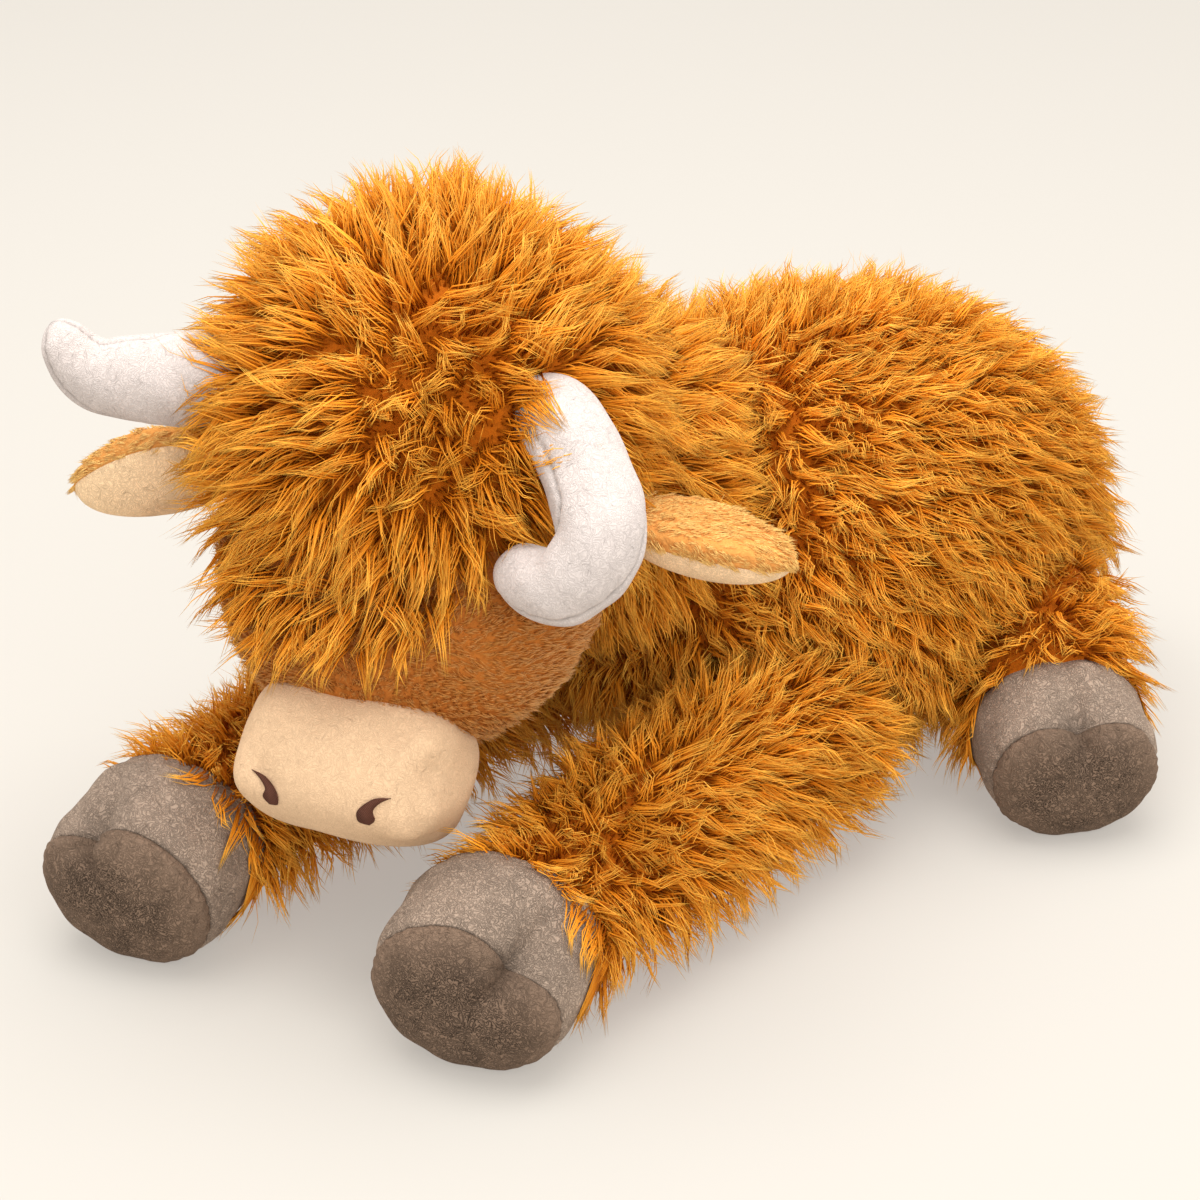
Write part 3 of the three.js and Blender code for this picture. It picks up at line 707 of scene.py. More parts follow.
def hair_mesh(name, lines, widths, tones, steps, rng):
    """Three-sided tapered hairs as one mesh, with the map that their colour follows."""
    count, rings = lines.shape[0], lines.shape[1] - 1
    along = unit(lines[:, 1:] - lines[:, :-1])
    beside = unit(np.cross(along[:, :1], rng.normal(size=(count, 1, 3))))
    first = flat_to(along, np.repeat(beside, rings, axis=1))
    second = np.cross(along, first)
    taper = np.interp(steps[:-1], [0, 0.35, 1], [0.8, 1.0, 0.15])
    radius = widths[:, None] / 2 * taper
    angles = np.arange(3) * 2 * math.pi / 3
    round_hair = (first[:, :, None] * np.cos(angles)[:, None] + second[:, :, None] * np.sin(angles)[:, None])
    rim = lines[:, :-1, None] + radius[:, :, None, None] * round_hair
    points = np.concatenate([rim.reshape(count, rings * 3, 3), lines[:, -1:]], axis=1)
    points[..., 2] = np.maximum(points[..., 2], LOWEST)
    faces = [[2, 1, 0]]
    for ring in range(rings - 1):
        low, high = ring * 3, ring * 3 + 3
        faces += [[low + i, low + (i + 1) % 3, high + (i + 1) % 3, high + i] for i in range(3)]
    top = (rings - 1) * 3
    faces += [[top + i, top + (i + 1) % 3, rings * 3] for i in range(3)]
    corners = np.concatenate(faces)
    sizes = np.array([len(face) for face in faces])
    per_hair = rings * 3 + 1
    loops = (np.arange(count)[:, None] * per_hair + corners).ravel()
    starts = np.cumsum(np.tile(sizes, count)) - np.tile(sizes, count)
    mesh = bpy.data.meshes.new(name)
    mesh.vertices.add(count * per_hair)
    mesh.vertices.foreach_set("co", points.ravel())
    mesh.loops.add(len(loops))
    mesh.loops.foreach_set("vertex_index", loops)
    mesh.polygons.add(len(starts))
    mesh.polygons.foreach_set("loop_start", starts)
    mesh.update(calc_edges=True)
    across = np.append(np.tile([-0.3, 0.0, 0.3], rings), 0.0)[corners]
    up = np.append(np.repeat(steps[:-1], 3), 1.0)[corners]
    bands = np.floor(np.clip(tones, 0, 0.999) * TONES) + 0.5
    layer = mesh.uv_layers.new(name="OFBake")
    where = np.empty((count, len(corners), 2))
    where[..., 0] = np.clip((bands[:, None] + across * TONES_ACROSS) / TONES, 0.01, 0.99)
    where[..., 1] = 0.01 + 0.98 * up
    layer.uv.foreach_set("vector", where.ravel())
    return mesh


LONG_STEPS = np.array([0.0, 0.36, 0.72, 1.0])
SHORT_STEPS = np.array([0.0, 0.5, 1.0])
# The two kinds of hair in a lock: least and greatest length, shares of the look's clump and frizz, and shadow
KINDS = {"long": (0.72, 1.08, 1, 1, 0), "under": (0.4, 0.72, 0.3, 2.2, 0.10)}
MOST_TRIANGLES = 185000
# Where hair is held: rooted under its cloth, above the floor, and pressed below the cow's greatest height
ROOT_DEPTH = 0.001
HAIR_FLOOR = 0.0016
PRESSED = 0.6
# What a whorl does to its locks: more turn and curl, and less lean and length
WHORL_TURN, WHORL_CURL, WHORL_LEAN, WHORL_SHORT = 1.1, 1.6, 0.45, 0.35


def fan(values):
    """One number for each hair, ready for its steps."""
    return values[:, None]


def grow(name, body, skin, keep, comb, look, seed, pile=None):
    """Grows locks on a skin's kept faces: each hair leans with its lock and closes in on the lock's tip.
    It is long fur, or else short pile with a finish of its own."""
    finish, slot = (pile, "face_fur") if pile else (long_fur(), "shag_fur")
    coat = Coat(skin.data, keep)
    rng = np.random.default_rng(seed)
    density = settings()[0].density
    centres, out = coat.scatter(look["locks"], rng)
    roots, normals = coat.scatter(look["hairs"] * density, rng)
    tree = KDTree(len(centres))
    for index, place in enumerate(centres):
        tree.insert(place, index)
    tree.balance()
    owner = np.array([tree.find(place)[1] for place in roots])
    count = len(centres)
    way = comb(centres, out)
    tangle = np.zeros(count)
    if look["whorl"] is not None:
        tangle = bell(np.linalg.norm(centres - look["whorl"], axis=1), WHORL_REACH)
    turn = rng.normal(0, 1, count) * (look["stray"] + WHORL_TURN * tangle)
    turn += ripple(centres, 0.05, seed) * look["sway"]
    way = way * fan(np.cos(turn)) + np.cross(out, way) * fan(np.sin(turn))
    side = np.cross(out, way)
    lean = np.radians(look["lean"])[None] + rng.normal(0, 0.12, (count, 1))
    lean = (lean + fan(ripple(centres, 0.06, seed + 7)) * 0.16) * fan(1 - WHORL_LEAN * tangle)
    size = look["length"] * rng.uniform(0.78, 1.16, count) * (1 - WHORL_SHORT * tangle)
    curl = look["curl"] * (1 + WHORL_CURL * tangle)
    phase = rng.uniform(0, 2 * math.pi, count)
    tone = 0.5 + rng.normal(0, look["mottle"], count) + ripple(centres, 0.09, seed + 3) * 0.1
    if look["shade"]:
        tone += look["shade"](centres, out)
    under = rng.random(len(roots)) < look["under"]
    for kind, (shortest, longest, clump, frizz, shadow) in KINDS.items():
        hairs = np.flatnonzero(under if kind == "under" else ~under)
        many = len(hairs)
        if not many:
            continue
        steps = LONG_STEPS if kind == "long" and look["curved"] else SHORT_STEPS
        mine = owner[hairs]
        start = roots[hairs]
        stretch = rng.uniform(shortest, longest, many)
        line = bent_hair(out[mine], way[mine], size[mine] * stretch, (lean[mine, 0], lean[mine, 1]), steps)
        swing = fan(curl[mine]) * np.sin(fan(phase[mine]) + 2 * math.pi * look["turns"] * steps) * steps
        line += fan(side[mine]) * swing[..., None]
        swing = fan(curl[mine]) * np.cos(fan(phase[mine]) + 5 * steps) * steps * 0.6
        line += fan(way[mine]) * swing[..., None]
        close = look["clump"] * clump * fan(rng.uniform(0.75, 1.0, many)) * steps ** 1.5
        line -= fan(start - centres[mine]) * close[..., None]
        loose = rng.normal(0, look["frizz"] * frizz, (many, 1, 3))
        wild = rng.random(many) < 0.10
        line += np.where(wild[:, None, None], loose * 4, loose) * (steps ** 1.3)[None, :, None]
        line[..., 2] -= look["droop"] * steps ** 2
        line = fan(start) - fan(normals[hairs]) * ROOT_DEPTH + line
        line[..., 2] = np.maximum(line[..., 2], HAIR_FLOOR)
        line[..., 2] -= np.maximum(line[..., 2] - FUR_TOP, 0) * PRESSED
        if look["outside"]:
            line = look["outside"](line)
        widths = look["width"] * rng.uniform(0.75, 1.15, many) * np.where(wild, 0.55, 1.0)
        tones = tone[mine] + rng.normal(0, 0.09, many) - shadow - 0.25 * tangle[mine]
        order = np.argsort(line[:, 0] @ look["split"])
        triangles = 6 * len(steps) - 8
        chunks = math.ceil(many * triangles / MOST_TRIANGLES)
        for part, chosen in enumerate(np.array_split(order, chunks)):
            label = f"{name}_{kind}_{part + 1}"
            mesh = hair_mesh(label, line[chosen], widths[chosen], tones[chosen], steps, rng)
            made_piece(label, mesh, finish, body)


def fur_backing():
    return skin_finish("fur_backing", settings()[0].root)


def long_fur():
    fur, _ = settings()
    return hair_finish("long_fur", fur.root, fur.middle, fur.tip)


def short_pile():
    fur, _ = settings()
    return hair_finish("short_pile", fur.pile_root, fur.pile_middle, fur.pile_tip, (0.72, 0.60, 0.40),
                       (1.0, 1.04, 1.12))


def ear_pile():
    fur, _ = settings()
    return hair_finish("ear_pile", fur.pile_middle, darker(fur.ear_tip, 0.86), fur.ear_tip,
                       (0.80, 0.70, 0.52), (1.05, 1.08, 1.10))


DOWN = np.array([0.0, 0.0, -1.0])
BACK = axis_of(BODY, 0, 1, 0)


def combed(direction):
    """Fur that is combed one way all over."""
    return lambda points, normals: flat_to(normals, direction)


def away_from(place, spread, fall):
    """Fur that flows away from a place, and falls."""
    return lambda points, normals: flat_to(normals, unit(points - place) * spread + DOWN * fall)


def look_of(**changes):
    """How a stretch of fur lies: metres, degrees, and locks and hairs per square centimetre."""
    fur, _ = settings()
    look = {"locks": 1.8, "hairs": 19.4, "under": 0.34, "length": fur.length, "width": fur.hair_width,
            "lean": (18, 74), "stray": 0.35, "sway": 0.5, "curl": 0.003, "turns": 0.6, "clump": 0.88,
            "frizz": 0.0010, "droop": 0.003, "mottle": 0.16, "curved": True, "split": BACK, "whorl": None,
            "outside": None, "shade": None}
    look.update(changes)
    return look


def clear_of(body):
    """Keeps the faces of a body's skin that face free air, not another body or the floor."""
    others = solid_tree([node for name, nodes in BODY_NODES.items() if name != body for node in nodes])
    lift, low, downward = 0.009, 0.035, -0.45

    def keep(points, normals):
        on_floor = (normals[:, 2] < downward) & (points[:, 2] < low)
        return ~buried(others, points, normals, lift) & ~on_floor

    return keep


# Operators

class PLUSHCOW_OT_body(bpy.types.Operator):
    """Stuffed body and its long fur."""
    bl_idname = "plush_cow.body"
    bl_label = "Body"

    def execute(self, context):
        fur, _ = settings()
        skin = made_piece("body_skin", stuffed_form(["body_filling"], 0.002), fur_backing(), "trunk",
                          ["body_cover", "body_filling"])
        look = look_of(curl=0.005, turns=0.9, lean=(10, 54), length=fur.length * 0.92)
        grow("body_fur", "trunk", skin, clear_of("trunk"), combed(DOWN + BACK * 0.55), look, 11)
        return {"FINISHED"}


class PLUSHCOW_OT_head(bpy.types.Operator):
    """Stuffed head and neck and their long fur, which flows away from a whorl on the forehead."""
    bl_idname = "plush_cow.head"
    bl_label = "Head"

    def execute(self, context):
        fur, _ = settings()
        form = stuffed_form(["head_filling"], 0.0015)

        def under_face(points):
            inside = (off_face(points) < 0) | (off_muzzle(points) < 0)
            return np.where(inside, -0.014 * np.clip((-local(HEAD, points)[:, 1] - 0.05) / 0.07, 0, 1), 0)

        push(form, under_face)
        skin = made_piece("head_skin", form, fur_backing(), "head",
                          ["head_cover", "head_filling"])
        free = clear_of("head")

        def keep(points, normals):
            kept = free(points, normals) & (off_horns(points) > -0.008)
            return kept & (off_face(points) > -0.0012) & (off_muzzle(points) > -0.001)

        look = look_of(length=fur.head_length, locks=1.5, hairs=19.5, curl=0.004, lean=(20, 66), stray=0.34,
                       droop=0.002, whorl=np.array(WHORL), outside=over_horns, split=axis_of(HEAD, 0, 1, 0))
        grow("head_fur", "head", skin, keep, away_from(np.array(WHORL), 1, 0.25), look, 23)
        return {"FINISHED"}


class PLUSHCOW_OT_face(bpy.types.Operator):
    """Clipped face with its short pile, and the forelock that grows above it."""
    bl_idname = "plush_cow.face"
    bl_label = "Face"

    def execute(self, context):
        fur, _ = settings()
        bm = plump(ball(96, 64), [radius - 0.003 for radius in FACE_RADII], FACE_PLUMP, FACE)

        def cheeks(x, y, z):
            narrow = 1 - 0.15 * share_of(-y / FACE_RADII[1])
            return x * narrow, y, z if z > 0 else z * narrow

        reshape(bm, FACE, cheeks)
        push(bm, lambda points: ripple(points, 0.06, 5) * 0.0012)
        skin = made_piece("face_skin", bm, skin_finish("pile_backing", fur.pile_root), "head",
                          ["face_panel"])
        free = clear_of("head")

        def panel(points, normals):
            """What is free, how far behind the forelock's edge it lies, and what lies above the middle."""
            spots = local(HEAD, points)
            kept = free(points, normals) & (off_horns(points) > -0.003)
            kept &= np.linalg.norm(spots, axis=1) > HEAD_RADIUS - 0.012
            behind = spots[:, 1] - np.interp(spots[:, 0], FRINGE_ASIDE, FRINGE_EDGE)
            return kept, behind, spots[:, 2] > FACE_PLACE[2]

        def keep(points, normals):
            kept, behind, above = panel(points, normals)
            return kept & ((behind < 0.045) | ~above) & (off_muzzle(points) > -0.001)

        def under_forelock(points, normals):
            kept, behind, above = panel(points, normals)
            return kept & (behind > 0.024) & above

        def shade(points, normals):
            """Amber between the forelock and the muzzle, darker up under the forelock as painted shade, and
            tan towards the jaw as painted rim light.
            """
            depth = local(FACE, points)[:, 2] / FACE_RADII[2]
            return np.clip((0.55 - depth) / 0.9, 0, 1) * 0.75 - 0.35

        look = look_of(locks=5.0, hairs=42.0, under=0.0, length=fur.pile_length, width=0.0007, lean=(34, 78),
                       stray=0.22, curl=0.0006, clump=0.55, frizz=0.0004, droop=0.0004, mottle=0.07,
                       shade=shade, curved=False)
        comb = away_from(np.array(MUZZLE.translation), 1, 0.5)
        grow("face_pile", "head", skin, keep, comb, look, 37, short_pile())
        look = look_of(length=fur.head_length, locks=1.5, hairs=21.0, curl=0.004, lean=(22, 76), stray=0.34,
                       droop=0.002, outside=over_horns)
        grow("forelock", "head", skin, under_forelock, away_from(np.array(WHORL), 1, 0.25), look, 29)
        return {"FINISHED"}


class PLUSHCOW_OT_muzzle(bpy.types.Operator):
    """Cream muzzle with its embroidered nostrils."""
    bl_idname = "plush_cow.muzzle"
    bl_label = "Muzzle"

    def execute(self, context):
        _, cloth = settings()
        bm = plump(ball(144, 96), (MUZZLE_RADII[0] * 0.965, *MUZZLE_RADII[1:]), MUZZLE_PLUMP + 0.3, MUZZLE)
        reshape(bm, MUZZLE, lambda x, y, z: (x, y if y > 0 else y * MUZZLE_CHIN, z))
        push(bm, lambda points: ripple(points, 0.045, 9) * 0.0012 + self.folds(local(MUZZLE, points)))
        tree = BVHTree.FromBMesh(bm)
        made_piece("muzzle", bm, cloth_finish("cream_cloth", cloth.cream, 0.09, 0.0002), "head",
                   ["muzzle_panel"])
        for side, sign in (("left", 1), ("right", -1)):
            made_piece(f"nostril_stitching_{side}", self.comma(sign, tree),
                       thread_finish("satin_stitch", cloth.thread), "head", [f"nostril_{side}"])
        return {"FINISHED"}

    def folds(self, spots):
        """How far the stuffed cloth stands out or sinks in at each of its bulges and folds."""
        return sum(rise * np.exp(-np.sum((spots - np.array(place)) ** 2, axis=1) / reach ** 2)
                   for place, reach, rise in MUZZLE_FOLDS)

    def comma(self, sign, tree):
        """A comma of satin stitch, laid on the muzzle."""
        outline = [*bent_curve([(*spot, 0) for spot in NOSTRIL_TOP], 30)[:-1],
                   *bent_curve([(*spot, 0) for spot in NOSTRIL_UNDER], 24)[:-1]]
        inward = (MUZZLE.to_3x3() @ Vector((0, 0, -1))).normalized()
        bm = bmesh.new()
        face = bm.faces.new([bm.verts.new((sign * across, up, 0)) for across, up, _ in outline])
        rim = bmesh.ops.inset_region(bm, faces=[face], thickness=0.0006, depth=0)["faces"]
        inner = [f for f in bm.faces if f not in rim]
        raised = {vert for f in inner for vert in f.verts}
        bmesh.ops.triangulate(bm, faces=inner)
        for vert in bm.verts:
            start = MUZZLE @ Vector((vert.co.x, vert.co.y, 0.08))
            found, normal, _, _ = tree.ray_cast(start, inward)
            if found is None:
                raise RuntimeError("a nostril misses the muzzle")
            vert.co = found + normal * (0.0012 if vert in raised else -0.0004)
        back = bmesh.ops.duplicate(bm, geom=bm.verts[:] + bm.edges[:] + bm.faces[:])["geom"]
        for vert in back:
            if isinstance(vert, bmesh.types.BMVert):
                vert.co += inward * 0.0024
        bmesh.ops.reverse_faces(bm, faces=[item for item in back if isinstance(item, bmesh.types.BMFace)])
        bmesh.ops.bridge_loops(bm, edges=[e for e in bm.edges if len(e.link_faces) == 1])
        bmesh.ops.recalc_face_normals(bm, faces=bm.faces)
        return bm


class PLUSHCOW_OT_horns(bpy.types.Operator):
    """Stuffed white horns, each with two lengthwise seams."""
    bl_idname = "plush_cow.horns"
    bl_label = "Horns"

    def execute(self, context):
        _, cloth = settings()
        finish = cloth_finish("white_cloth", cloth.white, 0.11, 0.00024)
        for side in HORN_CURVES:

            def radius_at(way):
                if way in (0.0, 1.0):
                    return 0.0
                return horn_radius(side, way) * math.sqrt(max(0, 1 - max(0, (way - 0.92) / 0.08) ** 2))

            def seams(way):
                return [np.interp(way, HORN_SEAM_WAYS, turns) for turns in HORN_SEAMS[side]]

            bm = bent_tube(horn_line(side, 101), radius_at, 120, seams, cloth.seam_depth, HEAD)
            push(bm, lambda points: ripple(points, 0.03, 13) * 0.0006)
            made_piece(f"horn_{side}", bm, finish, "head",
                       [f"horn_{side}_cover", f"horn_{side}_filling"])
        return {"FINISHED"}


class PLUSHCOW_OT_ears(bpy.types.Operator):
    """Ears: golden short pile on top, a cream lining underneath."""
    bl_idname = "plush_cow.ears"
    bl_label = "Ears"

    def execute(self, context):
        fur, cloth = settings()
        for side, sign in (("left", 1), ("right", -1)):
            body = f"ear_{side}"
            pose = EAR_POSE[side]
            turn = Euler((0, math.radians(pose["droop"]), math.radians(-pose["back"])), "XYZ")
            aim = turn.to_matrix().to_4x4()
            if sign < 0:
                aim = Matrix.Rotation(math.pi, 4, "Z") @ aim
            aim = aim @ Matrix.Rotation(math.radians(sign * pose["roll"]), 4, "X")
            place = HEAD @ Matrix.Translation(EAR_ROOTS[side]) @ aim
            upward = 1 if (place.to_3x3() @ Vector((0, 1, 0))).z > 0 else -1
            wrap = math.radians(pose["wrap"])
            cut = Vector((0, upward * math.sin(wrap), math.cos(wrap)))
            skin = made_piece(f"{body}_back", self.half(place, cut, True, upward, pose),
                              skin_finish("ear_backing", fur.pile_middle), body,
                              [f"{body}_outer"])
            made_piece(f"{body}_lining", self.half(place, cut, False, upward, pose),
                       cloth_finish("lining_cloth", cloth.lining, 0.16, 0.0003), body,
                       [f"{body}_inner"])
            hidden = Vector((0, cut.y / EAR["half_width"], cut.z / EAR["half_thickness"])).normalized()
            hidden = axis_of(place, *hidden)
            look = look_of(locks=4.0, hairs=62.0, under=0.0, length=fur.pile_length, width=0.0006,
                           lean=(46, 84), stray=0.2, curl=0.0006, clump=0.5, frizz=0.0005, droop=0.0004,
                           mottle=0.09, shade=lambda points, normals: 0.15, curved=False)
            grow(f"{body}_pile", body, skin, lambda points, normals: normals @ hidden > -0.8,
                 combed(axis_of(place, 1, 0, 0) + DOWN * 0.35), look, 41 + sign, ear_pile())
        return {"FINISHED"}

    def half(self, place, cut, upper, upward, pose):
        """One face of an ear: a leaf, cut along its length, that narrows to its tip and cups a little."""
        length = EAR["length"] * pose["long"]
        gap = 0.0002
        bm = ball(72, 56)
        bmesh.ops.rotate(bm, verts=bm.verts, cent=(0, 0, 0), matrix=Matrix.Rotation(math.pi / 2, 3, "Y"))
        bmesh.ops.bisect_plane(bm, geom=bm.verts[:] + bm.edges[:] + bm.faces[:],
                               plane_co=cut * (gap if upper else -gap), plane_no=cut, clear_inner=upper,
                               clear_outer=not upper)
        bmesh.ops.holes_fill(bm, edges=[e for e in bm.edges if len(e.link_faces) == 1])
        for vert in settled(bm).verts:
            x, y, z = vert.co
            way = (x + 1) / 2
            round_tip = max(1e-6, 1 - abs(x) ** 2.5) ** 0.4 / max(1e-3, 1 - x * x) ** 0.5
            narrow = (1 - 0.20 * max(0, way - 0.5) * 2) * min(1.25, round_tip)
            width = EAR["half_width"] * narrow * (1 + (pose["wide"] - 1) * share_of(1.5 - way * 1.4))
            cup = 0.006 * y * y - 0.003
            hollow = 0.0
            fuller = 0.8
            if z <= 0:
                valley = (y * upward + 0.45 - 0.5 * way) / 0.24
                hollow = 0.007 * math.exp(-valley * valley) * share_of((0.62 - way) / 0.3) * -z
                fuller = 1.5
            thick = z * EAR["half_thickness"] * fuller
            vert.co = place @ Vector((length * way, y * width, thick + cup + hollow))
        bmesh.ops.recalc_face_normals(bm, faces=bm.faces)
        if bm.calc_volume(signed=True) < 0:
            bmesh.ops.reverse_faces(bm, faces=bm.faces)
        return bm


class PLUSHCOW_OT_legs(bpy.types.Operator):
    """Stuffed legs with their fur sleeves, and the hooves."""
    bl_idname = "plush_cow.legs"
    bl_label = "Legs and hooves"

    def execute(self, context):
        _, cloth = settings()
        taupe = cloth_finish("taupe_cloth", cloth.taupe, 0.40, 0.0005)
        # The soles' darker taupe: partly their own cloth and partly painted shade on their downward faces.
        dark = cloth_finish("dark_cloth", cloth.dark, 0.72, 0.0006)
        for name, leg in LEGS.items():
            stand = frame_at(leg["pivot"], leg["heading"])
            hoof = self.hoof_frame(leg, stand)
            filling = stuffed_form([f"{name}_filling"], 0.001)

            def drawn_in(x, y, z):
                draw = 1 - 0.42 * share_of((0.40 * leg["hoof"] - y) / (0.3 * leg["hoof"]))
                return x * draw, y, z * draw

            reshape(filling, hoof, drawn_in)
            skin = made_piece(f"{name}_skin", filling, fur_backing(), name,
                              [f"{name}_sleeve", f"{name}_filling"])
            for label, node, sole, finish in (("hoof", "hoof_upper", False, taupe),
                                              ("sole", "hoof_sole", True, dark)):
                made_piece(f"{name}_{label}", self.hoof(leg, hoof, sole, cloth.seam_depth), finish, name,
                           [f"{name}_{node}"])
            self.sleeve_fur(name, leg, stand, skin, hoof)
        return {"FINISHED"}

    def sleeve_fur(self, name, leg, stand, skin, hoof):
        """Long fur down to the cuff, kept outside the hoof."""
        size = leg["hoof"]
        cuff = leg["reach"] - size * 0.27
        free = clear_of(name)
        top = (0.022, -0.195, 0.045) if name.startswith("fore") else (0.02, -0.03, 0.075)
        whorl = np.array(stand @ Vector(top))

        def keep(points, normals):
            return free(points, normals) & (-local(stand, points)[:, 1] < cuff - 0.001)

        def outside(line):
            spots = local(hoof, line)
            wide = np.hypot(spots[..., 0], spots[..., 2])
            beside = (spots[..., 1] < 0.45 * size) & (spots[..., 1] > -0.9 * size)
            grown = np.where(beside, np.maximum(1, (size + 0.0015) / np.maximum(wide, 1e-4)), 1)
            spots[..., 0] *= grown
            spots[..., 2] *= grown
            return moved(hoof, spots)

        look = look_of(curl=0.004, turns=0.7, lean=(12, 60), whorl=whorl, outside=outside,
                       split=axis_of(stand, 0, 1, 0))
        grow(f"{name}_fur", name, skin, keep, away_from(whorl, 0.9, 0.6), look, 50 + list(LEGS).index(name))

    def hoof_frame(self, leg, stand):
        """Where the hoof sits: its lowest side is level with the floor's cut."""
        radius = leg["hoof"]
        tilt = math.radians(HOOF_TILT)
        rows = [(wide * radius, along * radius) for along, wide in zip(HOOF_ALONG, HOOF_WIDE)]
        rows += [(HOOF_WIDE[-1] * radius * math.cos(a), radius * (HOOF_ALONG[-1] + SOLE_RISE * math.sin(a)))
                 for a in (math.pi / 6, math.pi / 3)]
        height = max(wide * HOOF_HEIGHT * math.cos(math.pi / 16) * math.cos(tilt) + along * math.sin(tilt)
                     for wide, along in rows)
        place = frame_at((0, -leg["reach"], height - 0.0005 - leg["pivot"][2]), leg["turn"], HOOF_TILT)
        return stand @ place @ Matrix.Diagonal((1, 1, HOOF_HEIGHT, 1))

    def profile(self, radius, sole):
        """Half of a hoof's outline, as its radius and the way along it: the upper, or the sole's dome."""
        seam = HOOF_ALONG[-1] * radius
        if sole:
            start = seam + SEAM_GAP
            rise = SOLE_RISE * radius
            edge = HOOF_WIDE[-1] * radius
            angles = np.radians([0, 1.5, 4, 8, 13, 19, 26, 34, 43, 52, 61, 70, 79, 85, 90])
            return [(0.0, start), *((max(0, edge * math.cos(a)), start + rise * math.sin(a)) for a in angles)]
        knots = np.array(HOOF_ALONG) * radius
        sizes = np.array(HOOF_WIDE) * radius
        rows = [(0.0, knots[0])]
        smooth = np.linspace(knots[0], seam - 0.005, 22)
        for along in (*smooth, *np.linspace(seam - 0.004, seam - SEAM_GAP, 5)):
            part = min(2, int(np.searchsorted(knots, along, side="right")) - 1)
            share = (along - knots[part]) / (knots[part + 1] - knots[part])
            share = (1 - math.cos(math.pi * share)) / 2
            rows.append((sizes[part] + (sizes[part + 1] - sizes[part]) * share, along))
        return [*rows, (0.0, seam - SEAM_GAP)]

    def hoof(self, leg, place, sole, depth):
        """Half of a hoof: a spun profile, pinched at the cleft, with puckers along the seam."""
        radius = leg["hoof"]
        seam = HOOF_ALONG[-1] * radius
        bm = bmesh.new()
        verts = [bm.verts.new((wide, -along, 0)) for wide, along in self.profile(radius, sole)]
        edges = [bm.edges.new(pair) for pair in zip(verts, verts[1:])]
        bmesh.ops.spin(bm, geom=verts + edges, cent=(0, 0, 0), axis=(0, 1, 0), angle=2 * math.pi, steps=128,
                       use_merge=True)
        bmesh.ops.remove_doubles(bm, verts=bm.verts, dist=1e-6)
        bmesh.ops.recalc_face_normals(bm, faces=settled(bm).faces)
        towards = math.radians(90 - leg["cleft"])
        toe = np.array((math.cos(towards), 0, math.sin(towards)))
        points = np.array([vert.co[:] for vert in bm.verts])
        away = unit(points - np.array((0, -0.2 * radius, 0)))
        angle = np.arctan2(points[:, 2], points[:, 0])
        from_seam = points[:, 1] + seam
        aside = points @ np.array((-toe[2], 0, toe[0]))
        cleft = toe * radius * HOOF_WIDE[-1] + np.array((0, -seam, 0))
        from_cleft = np.linalg.norm(points - cleft, axis=1)
        reach = np.where(from_seam > 0, 0.062, 0.046)
        fold = CLEFT_DEPTH * bell(aside, CLEFT_WIDTH) * np.clip(1 - from_cleft / reach, 0, 1) ** 1.3
        star = np.arctan2(from_seam + (points @ toe - radius), aside)
        creased = bell(from_cleft, WRINKLE_REACH)
        wrinkle = WRINKLE_DEPTH * np.sin(star * 9 + 1.0) * creased * np.clip(from_cleft / 0.006, 0, 1)
        stitches = 0.5 + 0.5 * np.sin(angle * 90)
        groove = depth * bell(from_seam, 0.0022) * (0.7 + 0.3 * stitches)
        pucker = PUCKER_DEPTH * bell(from_seam, 0.007) * np.sin(angle * 31 + 2.0 * np.sin(angle * 5))
        change = wrinkle + pucker + ripple(points, 0.03, 17) * 0.0007 - fold - groove
        # Painted shade in the crease round the cleft, and the dark seam line with its stitches, partly thread
        # and partly painted shade in its groove.
        seam_line_and_shade = np.maximum(0.68 * creased, bell(from_seam, 0.0011) * (0.6 + 0.4 * stitches))
        wide = np.hypot(points[:, 0], points[:, 2]) / radius
        # Painted rim light on the soles: lighter towards their rims, and none on the uppers.
        rim_light = np.clip((wide - 0.55) / 0.4, 0, 1) ** 1.5 * (0.85 if sole else 0.0)
        seam_and_shade_layer = bm.verts.layers.float.new("seam")
        rim_light_layer = bm.verts.layers.float.new("rim")
        for vert, step, stitch, share in zip(bm.verts, fan(change) * away, seam_line_and_shade, rim_light):
            vert[seam_and_shade_layer] = stitch
            vert[rim_light_layer] = share
            vert.co += Vector(step)
            turn = math.atan2(vert.co.z, vert.co.x) - towards
            beside = math.atan2(math.sin(turn), math.cos(turn)) / 0.45
            along = (vert.co.y + seam) / (0.45 * radius)
            draw = 1 - CLEFT_PINCH * math.exp(-beside * beside - along * along)
            vert.co = place @ Vector((vert.co.x * draw, vert.co.y, vert.co.z * draw))
            vert.co.z = max(vert.co.z, LOWEST)
        bmesh.ops.recalc_face_normals(bm, faces=bm.faces)
        return bm


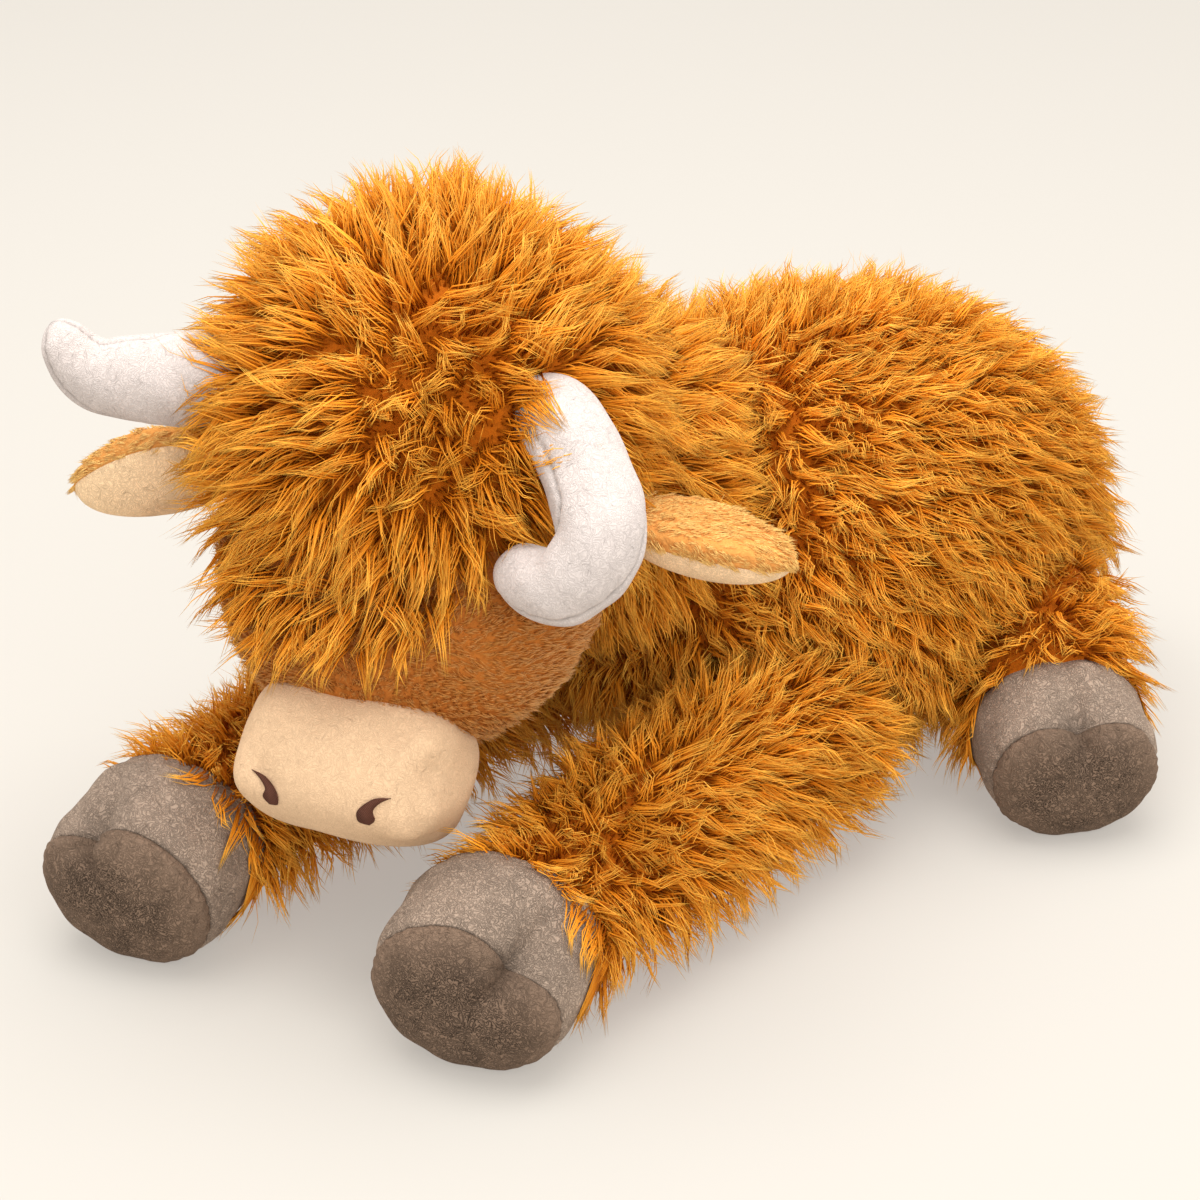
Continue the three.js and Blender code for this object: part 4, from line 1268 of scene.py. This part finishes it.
class PLUSHCOW_OT_tail(bpy.types.Operator):
    """Tail: a cord with short fur and a tuft of long fur."""
    bl_idname = "plush_cow.tail"
    bl_label = "Tail"

    def execute(self, context):
        def behind(aside, reach, rise):
            return BODY @ Vector((BODY_BEND - aside * MM, reach * MM, rise * MM))

        def radius_at(way):
            return 0.0 if way in (0.0, 1.0) else TAIL_RADIUS

        line = bent_curve([tuple(Vector(TAIL_ROOT)), *(tuple(behind(*bend)) for bend in TAIL_BENDS)], 33)
        cord = made_piece("tail_cord_skin", bent_tube(line, radius_at, 20, lambda way: (), 0), fur_backing(),
                          "tail", ["tail_cord"])
        bm = plump(ball(32, 20), [radius * 0.6 for radius in TUFT_RADII], 2,
                   Matrix.Translation(behind(*TUFT_PLACE)))
        tuft = made_piece("tail_tuft_skin", bm, fur_backing(), "tail", ["tail_tuft"])
        look = look_of(length=0.014, locks=3.0, hairs=30.0, width=0.0009, lean=(30, 80), curl=0.001,
                       clump=0.6)
        grow("tail_cord_fur", "tail", cord, clear_of("tail"), combed(DOWN), look, 71)
        look = look_of(length=0.036, locks=2.6, hairs=34.0, lean=(20, 84), curl=0.002)
        grow("tail_tuft_fur", "tail", tuft, lambda points, normals: np.ones(len(points), bool), combed(DOWN),
             look, 73)
        return {"FINISHED"}


class PLUSHCOW_OT_stage(bpy.types.Operator):
    """Pale seamless floor, soft studio light and the photograph's camera."""
    bl_idname = "plush_cow.stage"
    bl_label = "Stage"

    def execute(self, context):
        scene = context.scene
        stage = scene.plush_cow_stage
        target = Vector(CAMERA_TARGET)
        bm = bmesh.new()
        bmesh.ops.create_grid(bm, x_segments=2, y_segments=2, size=9)
        mesh = mesh_of("floor", bm)
        # The floor's emission is painted light: it lightens the shadows that fall on the floor.
        shader = Shader("pale_floor", Roughness=0.9, Specular_IOR_Level=0.1, Base_Color=(*stage.floor, 1),
                        Emission_Color=(*stage.backdrop, 1), Emission_Strength=stage.glow)
        mesh.materials.append(shader.material)
        placed("floor", mesh)
        self.lamp("key", target, (-0.04, -0.02, 2.2), 2.6, stage.key_power)
        self.lamp("fill", target, (1.7, -1.1, 1.1), 1.6, stage.fill_power)
        self.surround(scene, stage)
        azimuth, elevation = math.radians(CAMERA_AZIMUTH), math.radians(CAMERA_ELEVATION)
        away = Vector((math.sin(azimuth) * math.cos(elevation), -math.cos(azimuth) * math.cos(elevation),
                       math.sin(elevation)))
        camera = placed("camera", bpy.data.cameras.new("camera"))
        camera.data.sensor_width = SENSOR_WIDTH
        camera.data.lens = SENSOR_WIDTH / 2 / math.tan(math.radians(CAMERA_ANGLE / 2))
        camera.location = target + away * CAMERA_DISTANCE
        camera.rotation_euler = away.to_track_quat("Z", "Y").to_euler()
        scene.camera = camera
        scene.view_settings.view_transform = "Standard"
        return {"FINISHED"}

    def lamp(self, name, target, offset, size, power):
        data = bpy.data.lights.new(name, "AREA")
        data.shape = "DISK"
        data.size = size
        data.energy = power
        lamp = placed(name, data)
        lamp.location = target + Vector(offset)
        lamp.rotation_euler = Vector(offset).to_track_quat("Z", "Y").to_euler()

    def surround(self, scene, stage):
        """Light from all round, with a plain backdrop where the camera sees past the floor."""
        scene.world = bpy.data.worlds.new("studio")
        scene.world.use_nodes = True
        tree = scene.world.node_tree
        tree.nodes.clear()
        out = tree.nodes.new("ShaderNodeOutputWorld")
        rays = tree.nodes.new("ShaderNodeLightPath")
        mixed = tree.nodes.new("ShaderNodeMixShader")
        tree.links.new(rays.outputs["Is Camera Ray"], mixed.inputs[0])
        for place, colour, strength in ((1, (1.0, 0.985, 0.965), stage.sky), (2, stage.backdrop, 1.0)):
            light = tree.nodes.new("ShaderNodeBackground")
            light.inputs["Color"].default_value = (*colour, 1)
            light.inputs["Strength"].default_value = strength
            tree.links.new(light.outputs[0], mixed.inputs[place])
        tree.links.new(mixed.outputs[0], out.inputs[0])


class PLUSHCOW_PT_panel(bpy.types.Panel):
    """Sizes, colours and the steps that make the cow."""
    bl_label = "Plush cow"
    bl_idname = "PLUSHCOW_PT_panel"
    bl_space_type = "VIEW_3D"
    bl_region_type = "UI"
    bl_category = "Plush cow"

    def draw(self, context):
        scene = context.scene
        for group in (scene.plush_cow_fur, scene.plush_cow_cloth, scene.plush_cow_stage):
            for name in group.bl_rna.properties.keys():
                if name not in ("rna_type", "name"):
                    self.layout.prop(group, name)
        for step in STEPS:
            self.layout.operator(step.bl_idname)


GROUPS = (PlushCowFur, PlushCowCloth, PlushCowStage)
STEPS = (PLUSHCOW_OT_body, PLUSHCOW_OT_head, PLUSHCOW_OT_face, PLUSHCOW_OT_muzzle, PLUSHCOW_OT_horns,
         PLUSHCOW_OT_ears, PLUSHCOW_OT_legs, PLUSHCOW_OT_tail, PLUSHCOW_OT_stage)


def register():
    for part in (*GROUPS, *STEPS, PLUSHCOW_PT_panel):
        bpy.utils.register_class(part)
    bpy.types.Scene.plush_cow_fur = bpy.props.PointerProperty(type=PlushCowFur)
    bpy.types.Scene.plush_cow_cloth = bpy.props.PointerProperty(type=PlushCowCloth)
    bpy.types.Scene.plush_cow_stage = bpy.props.PointerProperty(type=PlushCowStage)


def unregister():
    del bpy.types.Scene.plush_cow_stage
    del bpy.types.Scene.plush_cow_cloth
    del bpy.types.Scene.plush_cow_fur
    for part in reversed((*GROUPS, *STEPS, PLUSHCOW_PT_panel)):
        bpy.utils.unregister_class(part)


def main():
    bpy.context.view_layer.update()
    register()
    for step in STEPS:
        getattr(bpy.ops.plush_cow, step.bl_idname.split(".")[1])()


if __name__ == "__main__":
    main()
